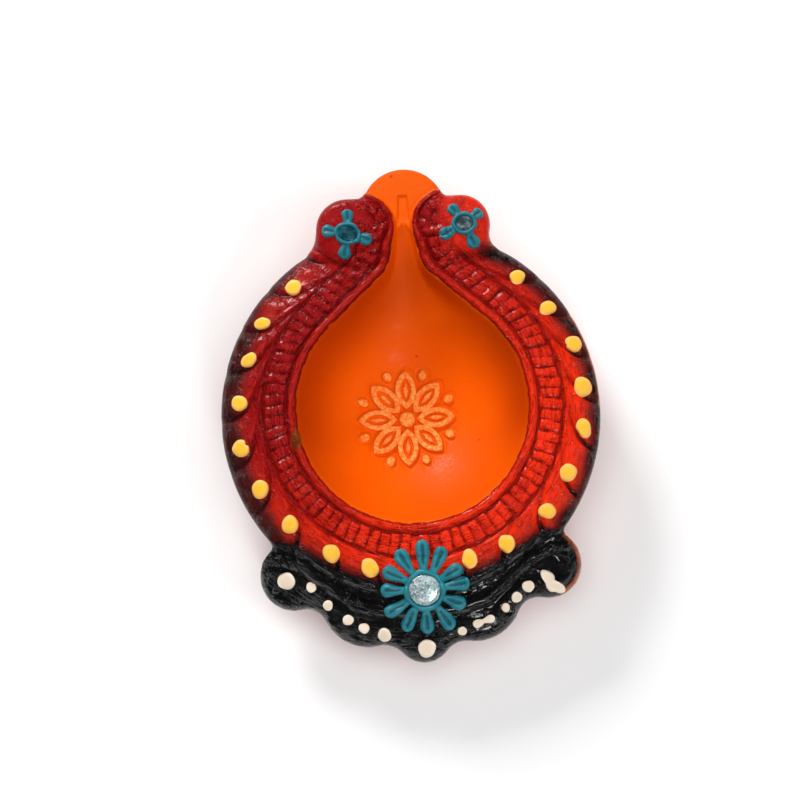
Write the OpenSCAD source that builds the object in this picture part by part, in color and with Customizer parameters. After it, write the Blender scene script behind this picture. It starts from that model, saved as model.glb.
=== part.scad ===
// Painted clay oil lamp: a teardrop bowl with a wick spout, a domed rim and a scalloped skirt,
// set with three stones in squeezed paint. Millimetres. The origin is the middle of the foot's
// underside, +Y runs towards the spout and +Z is up.

/* [Bowl] */
// Height of the bowl's lip above the foot
lip_z = 22; // [21.5:0.25:23]
// Radius of the bowl's round opening
bowl_r = 27; // [26.5:0.1:27.2]
// Depth of the bowl below its lip
bowl_depth = 18; // [16:0.5:18.5]
// Height of the raised ornament on the bowl's floor
relief_h = 0.7; // [0.4:0.1:0.9]
// Radius of the round bead that follows the lip
bead_r = 0.9; // [0.6:0.1:1]

/* [Rim] */
// Radius of the rim's outer edge
rim_r = 44.5; // [44:0.1:45]
// Thickness of the rim where it overhangs
rim_t = 4.4; // [4:0.1:4.8]
// Radius at which the flat top starts to fall
dome_start = 30; // [29:0.5:31]
// Radius at which the fall becomes straight
dome_end = 42; // [41:0.5:42]
// Steepest fall of the rim and the skirt, in degrees
rim_slope = 23.6; // [20:0.2:25]
// Radius of the flat foot
foot_r = 20; // [18:0.5:21]

/* [Spout] */
// Height of the tongue's flat top above the foot
tongue_z = 20.8; // [20.2:0.1:21.2]
// Distance of the valley's end from the bowl's centre
neck_y = 44.7; // [44:0.1:45.5]
// Width of the groove that holds the wick
slot_w = 2.4; // [2:0.1:2.8]
// Depth of the groove that holds the wick
slot_depth = 0.8; // [0.5:0.1:1]
// Length of the groove beyond the valley's end
slot_l = 5.6; // [4:0.2:7]
// Height of the two round pads above the foot
pad_top_z = 23.4; // [23:0.1:24]
// Radius of the curve over each pad
pad_curve_r = 12; // [11.5:0.5:14]

/* [Paint drops] */
// Height of a drop against its radius
drop_rise = 0.42; // [0.3:0.02:0.5]
// Thickness of the squeezed petals
petal_t = 1; // [0.7:0.1:1.3]
// Thickness of the squeezed rings
bezel_t = 1.3; // [1:0.1:1.6]
// Thickness of the glue under a stone
glue_t = 0.3; // [0.2:0.05:0.4]
// Height of the front stone above the clay
stone_t = 2; // [1.7:0.1:2.4]
// Height of the small mirrors above the clay
mirror_t = 0.9; // [0.7:0.1:1.1]

/* [Hidden] */
$fn = 64;
rim_fn = 360;
drop_fn = 96;
arc_step = 1.6;
above = 40;
below = -60;
far_r = 64;
dome_steps = 6;
wide = 120;

// How far outwards the points of the rim's underside lie from those of its top
under_shift = 2;

// Length of the valley's cone, and how much slimmer its half angle is than the tangent to the bowl
valley_l = 30;
valley_trim = 3;

// How far the wick groove starts inside the valley, and the tongue runs in past its round end
slot_start = 1;
tongue_margin = 0.6;

// Width of clay between the bead and the opening, and rise of the front stone's dome
bead_gap = 0.3;
stone_dome = 1;

// The outline is a chain of round knobs, anticlockwise from the skirt's middle scallop.
// Each knob is [x, y, radius, radius of the hollow curve that leads to the next knob].
KNOBS = [
    [0.3, -52, 6.6, 6],
    [12.7, -43.2, 11, 5],
    [30.2, -37.2, 7.8, 1.5],
    [0, -1, rim_r - 0.2, 4],
    [14.2, 43.3, 6.7, 2.5],
    [0.8, 47.2, 9.9, 3],
    [-12.9, 43.5, 7, 8],
    [0, -0.5, rim_r, 1.5],
    [-29.6, -37.2, 7.8, 5],
    [-12.4, -43.4, 11, 6],
];

// The bowl's middle, the direction in which its round part turns into the straight sides of
// the neck, and half the neck's width where the sides end
bowl_mid = [0.6, 0.7];
side_turn = 49.4;
neck_half_w = 1.6;
neck_corner = [4, 32.8];
neck_corner_r = 8;

// Each pad is two overlapping discs of [x, y, radius] under one round cap. The outer disc runs
// past the outline, which trims it.
PADS = [
    [[-10, 43.5, 8.6], [-12.9, 43.5, 7.7]],
    [[11.1, 43.1, 8.4], [14.2, 43.3, 7.4]],
];
PAD_MIDS = [[-11.2, 43.3], [12.4, 43.1]];

// The underside of the bowl's shell outside the foot, as [radius, height]
SHELL = [[22, 5], [26, 11.5], [31, 16.4]];
spout_under_z = 14.6;
spout_under_y = 36;

// The keel under the spout is a slim cone: [y, z, radius] at each end
KEEL = [[12, 13.5, 13], [60, 19.6, 2.6]];

// The floor ornament: a boss with outlined leaf shapes round it
relief_mid = [-1.4, -0.6];
leaf_count = 8;
leaf_mid_r = 6.9;
leaf_l = 8.8;
leaf_w = 4.8;
boss_r = 1.8;
line_w = 1.1;

// Yellow drops, from the spout to the front: [angle, distance from the middle, radius]
YELLOW_RIGHT = [
    [48.2, 40.1, 1.75], [33.6, 40.1, 1.8], [19.1, 41.2, 1.85],
    [4.7, 40.6, 2.1], [-9.1, 40.6, 1.9], [-24.6, 39.6, 1.9],
    [-39.5, 39.6, 1.85], [-57, 38.4, 1.85], [-71.1, 37.3, 1.8],
];
YELLOW_LEFT = [
    [130.4, 39.9, 1.85], [146.4, 40.3, 1.7], [159.6, 39.6, 1.7],
    [174.5, 40, 1.85], [189.7, 40.5, 1.95], [204.8, 39.6, 2],
    [220.8, 38.6, 1.95], [238.4, 38, 1.95], [253, 37.9, 1.95],
];
YELLOW = concat(YELLOW_RIGHT, YELLOW_LEFT);

// White marks along the skirt from left to right, each a list of drops [x, y, radius]
WHITE = [
    [[-31.1, -38.1, 2]],
    [[-25.3, -39.9, 1.2]],
    [[-21.6, -44.3, 1.2]],
    [[-17.1, -47.9, 1.25]],
    [[-13.5, -50, 1.25]],
    [[-8.8, -51.8, 1.55]],
    [[0.9, -55.4, 2.1]],
    [[9.4, -51.8, 1.05]],
    [[12.9, -50.3, 1.15], [14.6, -49.7, 0.8], [16.2, -49.2, 1.1]],
    [[19.8, -46.9, 1.05]],
    [[22.5, -44.6, 1.25]],
    [[25.3, -42.2, 1.4]],
    [[29.1, -39.6, 1.2], [30.4, -41.4, 1.6], [32.4, -43, 1.4]],
];

// Front flower: middle, stone radius, ring radius, and each petal as [direction, reach]
front_mid = [1.3, -42];
front_stone_r = 3.65;
front_ring_r = 5;
FRONT_PETALS = [
    [90, 11.75], [62, 11], [31, 10.3], [7.5, 10.6], [-24, 10.1], [-56, 11],
    [-90, 10.1], [-121.6, 10.6], [-150.6, 10.9], [177, 10.3], [150, 10.8], [122.5, 11.3],
];
petal_tip_r = 1.5;
petal_root_r = 0.75;

// Small flowers: [pad, middle, [half width, half height, turn] of the mirror, ring width, petals]
LEFT_FLOWER = [0, [-12.4, 42], [2.4, 1.85, -20], 1.05, [[87, 5.8], [169, 6.2], [-102, 6], [-20, 6]]];
RIGHT_FLOWER = [1, [15, 42.9], [2.1, 1.85, 0], 0.95, [[124, 5.5], [34, 5.1], [-67, 6.4], [-154, 6.6]]];
small_tip_r = 1.05;
small_root_r = 0.7;
small_petal_t = 0.9;
small_bezel_t = 1;

// Radius of the sphere whose cap has base radius a and height h
function cap_r(a, h) = (a * a + h * h) / (2 * h);

bowl_curve_r = cap_r(bowl_r, bowl_depth);
bowl_centre = [bowl_mid[0], bowl_mid[1], lip_z - bowl_depth + bowl_curve_r];
neck_end = [bowl_mid[0], neck_y, tongue_z];
dome_r = (dome_end - dome_start) / sin(rim_slope);
dome_end_z = lip_z - dome_r * (1 - cos(rim_slope));

// Slope and height of the rim's top at a distance r from the middle
function rim_fall(r) = r <= dome_start ? 0 : r >= dome_end ? rim_slope : asin((r - dome_start) / dome_r);
function rim_z(r) = r >= dome_end
    ? dome_end_z - (r - dome_end) * tan(rim_slope)
    : lip_z - dome_r * (1 - cos(rim_fall(r)));

function xy(p) = [p[0], p[1]];
function heading(v) = atan2(v[1], v[0]);
function polar(a, r) = [r * cos(a), r * sin(a)];

// Points from angle a0 to angle a1 round a centre, without the last one
function arc(c, r, a0, a1) =
    let (n = max(2, ceil(abs(a1 - a0) * PI / 180 * r / arc_step)))
    [for (i = [0 : n - 1]) c + polar(a0 + (a1 - a0) * i / n, r)];

// Centre of the hollow curve that touches two knobs on the outer side of the chain
function hollow_mid(k, m) =
    let (
        gap = xy(m) - xy(k),
        dist = norm(gap),
        e = gap / dist,
        p = k[2] + k[3],
        q = m[2] + k[3],
        along = (p * p - q * q + dist * dist) / (2 * dist),
        aside = sqrt(p * p - along * along)
    )
    xy(k) + along * e + aside * [e[1], -e[0]];

function turn_up(a, start) = a < start ? turn_up(a + 360, start) : a;
function turn_down(a, start) = a > start ? turn_down(a - 360, start) : a;

function knob_arc(i) =
    let (
        n = len(KNOBS),
        k = KNOBS[i],
        before = KNOBS[(i + n - 1) % n],
        after = KNOBS[(i + 1) % n],
        a0 = heading(hollow_mid(before, k) - xy(k)),
        mid = hollow_mid(k, after),
        a1 = turn_up(heading(mid - xy(k)), a0),
        b0 = heading(xy(k) - mid),
        b1 = turn_down(heading(xy(after) - mid), b0)
    )
    concat(arc(xy(k), k[2], a0, a1), arc(mid, k[3], b0, b1));

OUTLINE = [for (i = [0 : len(KNOBS) - 1]) each knob_arc(i)];

// Points that round the corner b between a and c with radius r
function rounded(a, b, c, r) =
    let (
        u = (a - b) / norm(a - b),
        v = (c - b) / norm(c - b),
        half = acos(u * v) / 2,
        mid = b + (u + v) / norm(u + v) * r / sin(half),
        p = b + u * r / tan(half),
        q = b + v * r / tan(half),
        a0 = heading(p - mid),
        a1 = heading(q - mid),
        sweep = (a1 - a0 + 540) % 360 - 180
    )
    concat(arc(mid, r, a0, a0 + sweep), [q]);

// Right side of the bowl's opening seen from its middle: round, straight, then the narrow neck
SIDE = concat(
    arc([0, 0], bowl_r, -90, side_turn),
    rounded(polar(side_turn, bowl_r), neck_corner, [neck_half_w, neck_y - bowl_mid[1]], neck_corner_r),
    [[neck_half_w, neck_y - bowl_mid[1]]]
);
OPENING = [
    for (p = SIDE) bowl_mid + p,
    for (i = [len(SIDE) - 1 : -1 : 1]) bowl_mid + [-SIDE[i][0], SIDE[i][1]],
];

// The top of the rim and skirt, as [radius, height]
DOME = [for (i = [0 : dome_steps]) let (a = rim_slope * i / dome_steps)
    [dome_start + dome_r * sin(a), lip_z - dome_r * (1 - cos(a))]];
RIM_TOP = concat([[0, lip_z]], DOME, [[far_r, rim_z(far_r)]]);

// A drop-shaped petal that points along +X, from its narrow root to its round tip
function petal_points(root, reach, root_r, tip_r) =
    let (
        tip = [reach - tip_r, 0],
        base = [root, 0],
        lean = 90 + asin((root_r - tip_r) / (tip[0] - base[0]))
    )
    concat(
        [for (i = [-6 : 6]) tip + polar(i * (180 - lean) / 6, tip_r)],
        [for (i = [-3 : 3]) base + polar(180 + i * lean / 3, root_r)]
    );

function oval_points(half_w, half_h, turn) =
    [for (a = [0 : 12 : 348])
        let (p = [half_w * cos(a), half_h * sin(a)])
        [p[0] * cos(turn) - p[1] * sin(turn), p[0] * sin(turn) + p[1] * cos(turn)]];

// Everything under the rim's top, lifted by rise
module rim_mass(rise = 0) {
    rotate_extrude($fn = rim_fn)
        polygon(concat(
            [[0, below]],
            [for (p = RIM_TOP) [p[0], p[1] + rise]],
            [[far_r, below]]
        ));
}

// The ball whose top is the round cap of one pad, grown by rise
module pad_ball(side, rise = 0) {
    translate([PAD_MIDS[side][0], PAD_MIDS[side][1], pad_top_z - pad_curve_r])
        sphere(pad_curve_r + rise);
}

module outline_prism(from_z, to_z) {
    translate([0, 0, from_z])
        linear_extrude(to_z - from_z)
            polygon(OUTLINE);
}

module rim_shell() {
    under_r = [for (p = DOME) if (p[0] > SHELL[2][0]) p[0] + under_shift];
    rotate_extrude()
        polygon(concat(
            [[0, 0], [foot_r, 0]],
            SHELL,
            [for (r = under_r) [r, rim_z(r) - rim_t]],
            [[far_r, rim_z(far_r) - rim_t]],
            [for (i = [len(RIM_TOP) - 1 : -1 : 0]) RIM_TOP[i]]
        ));
}

module pad(side) {
    intersection() {
        pad_ball(side);
        translate([0, 0, spout_under_z])
            linear_extrude(above)
                union() {
                    for (disc = PADS[side]) translate(xy(disc)) circle(disc[2]);
                }
        outline_prism(0, above);
    }
}

module tongue() {
    disc = KNOBS[5];
    intersection() {
        outline_prism(spout_under_z, tongue_z);
        translate([disc[0], disc[1], 0]) cylinder(h = above, r = disc[2] + tongue_margin);
    }
}

module keel() {
    start = KEEL[0];
    end = KEEL[1];
    run = norm([end[0] - start[0], end[1] - start[1]]);
    climb = atan2(end[1] - start[1], end[0] - start[0]);
    intersection() {
        translate([bowl_mid[0], start[0], start[1]])
            rotate([climb - 90, 0, 0])
                cylinder(h = run, r1 = start[2], r2 = end[2]);
        outline_prism(0, tongue_z);
    }
}

module bowl_space() {
    reach = bowl_centre - neck_end;
    steep = asin(bowl_curve_r / norm(reach)) - valley_trim;
    intersection() {
        union() {
            translate(bowl_centre) sphere(bowl_curve_r);
            translate(neck_end)
                rotate([90 - atan2(reach[2], -reach[1]), 0, 0])
                    cylinder(h = valley_l, r1 = 0, r2 = valley_l * tan(steep));
        }
        linear_extrude(above) polygon(OPENING);
    }
}

// Space above the lip inside the opening
module mouth() {
    translate([0, 0, tongue_z])
        linear_extrude(above)
            polygon(OPENING);
}

module wick_groove() {
    r = cap_r(slot_w / 2, slot_depth);
    translate([bowl_mid[0], neck_y - slot_start, tongue_z - slot_depth + r])
        rotate([-90, 0, 0])
            cylinder(h = slot_l + slot_start, r = r);
}

// Bead round the lip: the round part, and the straight part up to the neck on both sides
module bead() {
    gap = bead_r + bead_gap;
    start = polar(side_turn, bowl_r + gap);
    along = neck_corner - polar(side_turn, bowl_r);
    translate([bowl_mid[0], bowl_mid[1], lip_z]) {
        rotate(180 - side_turn)
            rotate_extrude(angle = 180 + 2 * side_turn)
                translate([bowl_r + gap, 0]) circle(bead_r);
        for (side = [0, 1])
            mirror([side, 0, 0])
                translate([start[0], start[1], 0])
                    rotate([0, 90, heading(along)])
                        cylinder(h = norm(along), r = bead_r);
    }
}

// A pointed leaf shape along X
module leaf(l, w) {
    r = cap_r(l / 2, w / 2);
    intersection() {
        translate([0, r - w / 2]) circle(r);
        translate([0, w / 2 - r]) circle(r);
    }
}

module floor_ornament() {
    intersection() {
        difference() {
            translate(bowl_centre) sphere(bowl_curve_r + relief_h);
            translate(bowl_centre) sphere(bowl_curve_r - relief_h);
        }
        translate([relief_mid[0], relief_mid[1], 0])
            linear_extrude(lip_z / 2) {
                circle(boss_r);
                for (i = [1 : leaf_count])
                    rotate(i * 360 / leaf_count)
                        translate([leaf_mid_r, 0])
                            difference() {
                                leaf(leaf_l, leaf_w);
                                leaf(leaf_l - 2.6 * line_w, leaf_w - 2 * line_w);
                            }
            }
    }
}

module clay_body() {
    color("firebrick")
        union() {
            difference() {
                union() {
                    difference() {
                        union() {
                            intersection() {
                                rim_shell();
                                outline_prism(0, above);
                            }
                            pad(0);
                            pad(1);
                            tongue();
                        }
                        translate([-wide / 2, spout_under_y, -1])
                            cube([wide, wide, spout_under_z + 1]);
                    }
                    keel();
                    bead();
                }
                bowl_space();
                mouth();
                wick_groove();
            }
            floor_ornament();
        }
}

// Sets children on the rim's top at x, y, square to the surface
module on_rim(x, y) {
    r = norm([x, y]);
    rotate(atan2(y, x))
        translate([r, 0, rim_z(r)])
            rotate([0, rim_fall(r), 0])
                children();
}

// A round drop of thick paint on the rim or skirt
module drop(x, y, r) {
    h = r * drop_rise;
    ball_r = cap_r(r, h);
    on_rim(x, y)
        translate([0, 0, h - ball_r])
            sphere(ball_r, $fn = drop_fn);
}

module yellow_dot(i) {
    dot = YELLOW[i];
    spot = polar(dot[0], dot[1]);
    color("gold")
        difference() {
            drop(spot[0], spot[1], dot[2]);
            rim_mass();
        }
}

module white_mark(i) {
    color("antiquewhite")
        difference() {
            union() {
                for (d = WHITE[i]) drop(d[0], d[1], d[2]);
            }
            rim_mass();
        }
}

// Lays a flat shape over the rim as a layer between two heights above the clay
module drape_on_rim(low, high) {
    difference() {
        intersection() {
            linear_extrude(above) children();
            rim_mass(high);
        }
        rim_mass(low);
    }
}

// Lays a flat shape over a pad in the same way, clear of the rim beside it
module drape_on_pad(side, low, high) {
    difference() {
        intersection() {
            translate([0, 0, spout_under_z]) linear_extrude(above) children();
            pad_ball(side, high);
        }
        pad_ball(side, low);
        rim_mass();
    }
}

module front_petal(i) {
    petal = FRONT_PETALS[i];
    color("teal")
        drape_on_rim(0, petal_t)
            translate(front_mid)
                difference() {
                    rotate(petal[0])
                        polygon(petal_points(front_ring_r, petal[1], petal_root_r, petal_tip_r));
                    circle(front_ring_r);
                }
}

module front_bezel() {
    color("darkcyan")
        drape_on_rim(0, bezel_t)
            translate(front_mid)
                difference() {
                    circle(front_ring_r);
                    circle(front_stone_r);
                }
}

module front_gem() {
    ball_r = cap_r(front_stone_r, stone_dome);
    r = norm(front_mid);
    color("lightcyan")
        difference() {
            intersection() {
                translate(front_mid) cylinder(h = above, r = front_stone_r);
                rotate(heading(front_mid))
                    translate([r, 0, rim_z(r)])
                        rotate([0, rim_fall(r), 0])
                            translate([0, 0, stone_t - ball_r])
                                sphere(ball_r);
            }
            rim_mass(glue_t);
        }
}

module small_petal(flower, i) {
    petal = flower[4][i];
    mirror_size = flower[2];
    rim_w = flower[3];
    reach = mirror_size[1] + rim_w;
    color("teal")
        drape_on_pad(flower[0], 0, small_petal_t)
            translate(flower[1])
                difference() {
                    rotate(petal[0])
                        polygon(petal_points(reach, petal[1], small_root_r, small_tip_r));
                    polygon(oval_points(mirror_size[0] + rim_w, reach, mirror_size[2]));
                }
}

module small_bezel(flower) {
    mirror_size = flower[2];
    rim_w = flower[3];
    color("darkcyan")
        drape_on_pad(flower[0], 0, small_bezel_t)
            translate(flower[1])
                difference() {
                    polygon(oval_points(mirror_size[0] + rim_w, mirror_size[1] + rim_w, mirror_size[2]));
                    polygon(oval_points(mirror_size[0], mirror_size[1], mirror_size[2]));
                }
}

module small_mirror(flower) {
    mirror_size = flower[2];
    color("darkslategray")
        drape_on_pad(flower[0], glue_t, mirror_t)
            translate(flower[1])
                polygon(oval_points(mirror_size[0], mirror_size[1], mirror_size[2]));
}

module stone_glue() {
    color("lightgray") {
        drape_on_rim(0, glue_t)
            translate(front_mid) circle(front_stone_r);
        for (flower = [LEFT_FLOWER, RIGHT_FLOWER])
            drape_on_pad(flower[0], 0, glue_t)
                translate(flower[1])
                    polygon(oval_points(flower[2][0], flower[2][1], flower[2][2]));
    }
}

// A name with a two-figure number, counted from 1
function numbered(stem, i) = str(stem, i < 9 ? "0" : "", i + 1);

clay_body();
front_gem();
front_bezel();
for (i = [0 : len(FRONT_PETALS) - 1])
    front_petal(i);
small_mirror(LEFT_FLOWER);  // left_mirror
small_bezel(LEFT_FLOWER);  // left_bezel
for (i = [0 : 3])
    small_petal(LEFT_FLOWER, i);
small_mirror(RIGHT_FLOWER);  // right_mirror
small_bezel(RIGHT_FLOWER);  // right_bezel
for (i = [0 : 3])
    small_petal(RIGHT_FLOWER, i);
for (i = [0 : len(YELLOW) - 1])
    yellow_dot(i);
for (i = [0 : len(WHITE) - 1])
    white_mark(i);
stone_glue();
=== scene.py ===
"""Painted clay oil lamp: its moulded body, paint drops, squeezed petals, stones and studio."""

import math

import bpy
import numpy as np
from bpy.props import FloatProperty, FloatVectorProperty, IntProperty, PointerProperty
from bpy.types import Operator, Panel, PropertyGroup
from mathutils import Matrix, Vector


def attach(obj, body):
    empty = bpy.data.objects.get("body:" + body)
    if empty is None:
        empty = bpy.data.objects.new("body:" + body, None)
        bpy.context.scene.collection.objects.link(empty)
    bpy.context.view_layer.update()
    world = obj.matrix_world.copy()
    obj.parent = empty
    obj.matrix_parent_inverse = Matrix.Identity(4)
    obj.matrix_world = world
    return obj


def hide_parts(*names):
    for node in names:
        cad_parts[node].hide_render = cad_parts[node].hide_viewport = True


bl_info = {
    "name": "Painted Clay Oil Lamp",
    "version": (1, 0, 0),
    "blender": (4, 5, 0),
    "location": "View3D > Sidebar > Lamp",
    "description": "Builds a hand-painted clay oil lamp round its packed frame",
    "category": "Add Mesh",
}

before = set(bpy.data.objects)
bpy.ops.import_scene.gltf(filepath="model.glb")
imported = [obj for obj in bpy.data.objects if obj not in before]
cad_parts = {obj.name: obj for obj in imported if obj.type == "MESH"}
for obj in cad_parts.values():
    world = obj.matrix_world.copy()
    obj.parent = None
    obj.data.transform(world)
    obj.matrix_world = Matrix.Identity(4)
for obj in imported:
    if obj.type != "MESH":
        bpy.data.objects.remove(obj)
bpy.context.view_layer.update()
MM = 0.001
ROOT = "root"

# Shape of the clay, in millimetres ------------------------------------------------------------

LIP_Z = 22.0
BOWL_R = 27.0
BOWL_DEPTH = 18.0
BOWL_MID = (0.6, 0.7)
BOWL_CURVE = (BOWL_R ** 2 + BOWL_DEPTH ** 2) / (2 * BOWL_DEPTH)
BOWL_CENTRE_Z = LIP_Z - BOWL_DEPTH + BOWL_CURVE

RIM_R = 44.5
RIM_T = 4.4
DOME_START = 30.0
DOME_END = 42.0
RIM_SLOPE = math.radians(23.6)
DOME_R = (DOME_END - DOME_START) / math.sin(RIM_SLOPE)
FOOT_R = 20.0
SHELL_R = (20.0, 22.0, 26.0, 31.0, 33.5)
SHELL_Z = (0.0, 5.0, 11.5, 16.4, 17.4)

TONGUE_Z = 20.8
TONGUE_MID = (0.8, 47.2)
TONGUE_R = 9.9
NECK_Y = 44.7
SPOUT_UNDER_Z = 14.6
KEEL_START = (12.0, 13.5, 13.0)
KEEL_END = (60.0, 19.6, 2.6)

# Round knobs of the outline, anticlockwise from the front: x, y, radius, hollow to the next
KNOBS = (
    (0.3, -52.0, 6.6, 6.0),
    (12.7, -43.2, 11.0, 5.0),
    (30.2, -37.2, 7.8, 1.5),
    (0.0, -1.0, RIM_R - 0.2, 4.0),
    (14.2, 43.3, 6.7, 2.5),
    (0.8, 47.2, 9.9, 3.0),
    (-12.9, 43.5, 7.0, 8.0),
    (0.0, -0.5, RIM_R, 1.5),
    (-29.6, -37.2, 7.8, 5.0),
    (-12.4, -43.4, 11.0, 6.0),
)

AXIS_X = 0.65
SIDE_TURN = math.radians(49.4)
NECK_CORNER = (4.0, 33.5)
NECK_CORNER_R = 8.0
PAD_OFFSET = 10.45
PAD_Y = 43.3
PAD_RING_R = 8.5
PAD_TOP_Z = 23.4


def arc(mid, radius, start, end, step=0.2):
    """Points at even angles round a circle, without the last one."""
    count = max(2, int(np.ceil(abs(end - start) * radius / step)))
    angle = np.linspace(start, end, count, endpoint=False)
    return np.stack([mid[0] + radius * np.cos(angle), mid[1] + radius * np.sin(angle)], axis=1)


def heading(v):
    return math.atan2(v[1], v[0])


def knob_chain():
    """The outline: each knob's arc, then the hollow arc that touches it and the next knob."""
    knobs = np.array(KNOBS)
    mids, radii, hollows = knobs[:, :2], knobs[:, 2], knobs[:, 3]
    gaps = np.roll(mids, -1, axis=0) - mids
    dist = np.hypot(gaps[:, 0], gaps[:, 1])
    along = gaps / dist[:, None]
    p = radii + hollows
    q = np.roll(radii, -1) + hollows
    run = (p * p - q * q + dist * dist) / (2 * dist)
    aside = np.sqrt(p * p - run * run)
    outer = np.stack([along[:, 1], -along[:, 0]], axis=1)
    hollow_mids = mids + run[:, None] * along + aside[:, None] * outer
    points = []
    for i in range(len(knobs)):
        a0 = heading(hollow_mids[i - 1] - mids[i])
        a1 = heading(hollow_mids[i] - mids[i])
        points.append(arc(mids[i], radii[i], a0, a0 + (a1 - a0) % (2 * math.pi)))
        b0 = heading(mids[i] - hollow_mids[i])
        b1 = heading(mids[(i + 1) % len(knobs)] - hollow_mids[i])
        points.append(arc(hollow_mids[i], hollows[i], b0, b0 - (b0 - b1) % (2 * math.pi)))
    return np.concatenate(points)


def rounded_corner(a, b, c, radius):
    """The arc that rounds corner b between a and c."""
    a, b, c = (np.array(v, float) for v in (a, b, c))
    u = (a - b) / np.linalg.norm(a - b)
    v = (c - b) / np.linalg.norm(c - b)
    half = math.acos(u @ v) / 2
    mid = b + (u + v) / np.linalg.norm(u + v) * radius / math.sin(half)
    a0 = heading(b + u * radius / math.tan(half) - mid)
    a1 = heading(b + v * radius / math.tan(half) - mid)
    sweep = (a1 - a0 + math.pi) % (2 * math.pi) - math.pi
    return arc(mid, radius, a0, a0 + sweep)


def straight(a, b, step=0.2):
    count = max(2, int(np.hypot(b[0] - a[0], b[1] - a[1]) / step))
    t = np.linspace(0, 1, count, endpoint=False)[:, None]
    return np.array(a) * (1 - t) + np.array(b) * t


def half_opening(side):
    """One side of the painted opening from the front to the tongue's tip: the bowl's arc, the
    straight side, the neck, the arc round the pad and the tongue's edge."""
    turn = np.array([side, 1.0])
    tangent = np.array([BOWL_R * math.cos(SIDE_TURN), BOWL_R * math.sin(SIDE_TURN) + BOWL_MID[1]])
    neck = (PAD_OFFSET - PAD_RING_R, PAD_Y - 0.4)
    corner = rounded_corner(tangent, NECK_CORNER, neck, NECK_CORNER_R)
    local = np.concatenate([
        arc((0, BOWL_MID[1]), BOWL_R, -math.pi / 2, SIDE_TURN),
        straight(tangent, corner[0]),
        corner,
        straight(corner[-1], neck),
        arc((PAD_OFFSET, PAD_Y), PAD_RING_R, math.pi, math.radians(104)),
    ]) * turn + [AXIS_X, 0]
    edge = math.radians(30)
    tip = arc((0, 0), TONGUE_R - 0.5, edge, math.pi / 2) * turn + TONGUE_MID
    return np.concatenate([local, tip])


def smooth_ring(points, width):
    """A closed line with every point averaged over a length of the line, evenly spaced."""
    ring = spaced(points, 2400)
    step = np.linalg.norm(ring[1] - ring[0])
    reach = int(4 * width / step)
    weights = np.exp(-0.5 * (np.arange(-reach, reach + 1) * step / width) ** 2)
    weights /= weights.sum()
    soft = sum(w * np.roll(ring, k - reach, axis=0) for k, w in enumerate(weights))
    return soft


def spaced(points, count):
    """A closed line resampled at even steps of its length."""
    ring = np.concatenate([points, points[:1]])
    length = np.concatenate([[0], np.cumsum(np.hypot(*np.diff(ring, axis=0).T))])
    at = np.linspace(0, length[-1], count, endpoint=False)
    return np.stack([np.interp(at, length, ring[:, 0]), np.interp(at, length, ring[:, 1])], axis=1)


def start_at(points, spot):
    """The same closed line, begun at the point nearest to spot."""
    first = np.argmin(np.hypot(*(points - np.array(spot)).T))
    return np.roll(points, -first, axis=0)


OPENING = smooth_ring(np.concatenate([half_opening(1), half_opening(-1)[::-1]]), 0.45)
OPENING = start_at(OPENING, (AXIS_X, -30))
OUTLINE = start_at(smooth_ring(knob_chain(), 0.35), (AXIS_X, -60))


def ring_facts(ring):
    """Length along a closed line at each point, its whole length, and its outward normals."""
    after = np.roll(ring, -1, axis=0)
    step = np.hypot(*(after - ring).T)
    tangent = after - np.roll(ring, 1, axis=0)
    tangent /= np.hypot(*tangent.T)[:, None]
    normal = np.stack([tangent[:, 1], -tangent[:, 0]], axis=1)
    return np.concatenate([[0], np.cumsum(step)[:-1]]), step.sum(), normal, tangent


OPEN_S, OPEN_L, OPEN_N, OPEN_T = ring_facts(OPENING)
OUT_S, OUT_L, OUT_N, OUT_T = ring_facts(OUTLINE)


def nearest(x, y, ring, length, normal, tangent):
    """Place of points against a closed line: length along it and signed distance outwards."""
    flat = np.stack([np.ravel(x), np.ravel(y)], axis=1)
    s = np.empty(len(flat))
    d = np.empty(len(flat))
    block = 4000
    for i in range(0, len(flat), block):
        part = flat[i:i + block]
        gap2 = ((part[:, None, 0] - ring[None, :, 0]) ** 2
                + (part[:, None, 1] - ring[None, :, 1]) ** 2)
        k = gap2.argmin(axis=1)
        gap = part - ring[k]
        slide = (gap * tangent[k]).sum(axis=1)
        side = np.sign((gap * normal[k]).sum(axis=1) + 1e-12)
        away = np.sqrt(np.maximum(gap2[np.arange(len(k)), k] - slide ** 2, 0))
        s[i:i + block] = length[k] + slide
        d[i:i + block] = side * away
    return s.reshape(np.shape(x)), d.reshape(np.shape(x))


def from_opening(x, y):
    return nearest(x, y, OPENING, OPEN_S, OPEN_N, OPEN_T)


def from_outline(x, y):
    s, d = nearest(x, y, OUTLINE, OUT_S, OUT_N, OUT_T)
    return s, -d


def ease(low, high, v):
    """Smooth step from 0 at low to 1 at high."""
    t = np.clip((v - low) / (high - low), 0, 1)
    return t * t * (3 - 2 * t)


def soft_min(a, b, width):
    """The smaller of two heights with their meeting line rounded."""
    h = np.clip(0.5 + 0.5 * (b - a) / width, 0, 1)
    return b * (1 - h) + a * h - width * h * (1 - h)


def soft_max(a, b, width):
    return -soft_min(-a, -b, width)


def wobble(x, y, size, seed):
    """Slow unevenness of hand work between about -1 and 1: four waves in set directions."""
    total = np.zeros(np.shape(x))
    for k in range(4):
        turn = seed * 1.7 + k * 2.4
        pitch = size * (1 + 0.37 * k)
        total += np.sin((x * math.cos(turn) + y * math.sin(turn)) * 2 * math.pi / pitch + seed * 3.1 + k)
    return total / 4


def front_angle(x, y):
    """Degrees round the body from the front, 0, to the spout, 180, alike on both sides."""
    return np.degrees(np.arctan2(np.abs(x), -y))


# Heights of the clay --------------------------------------------------------------------------

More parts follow.
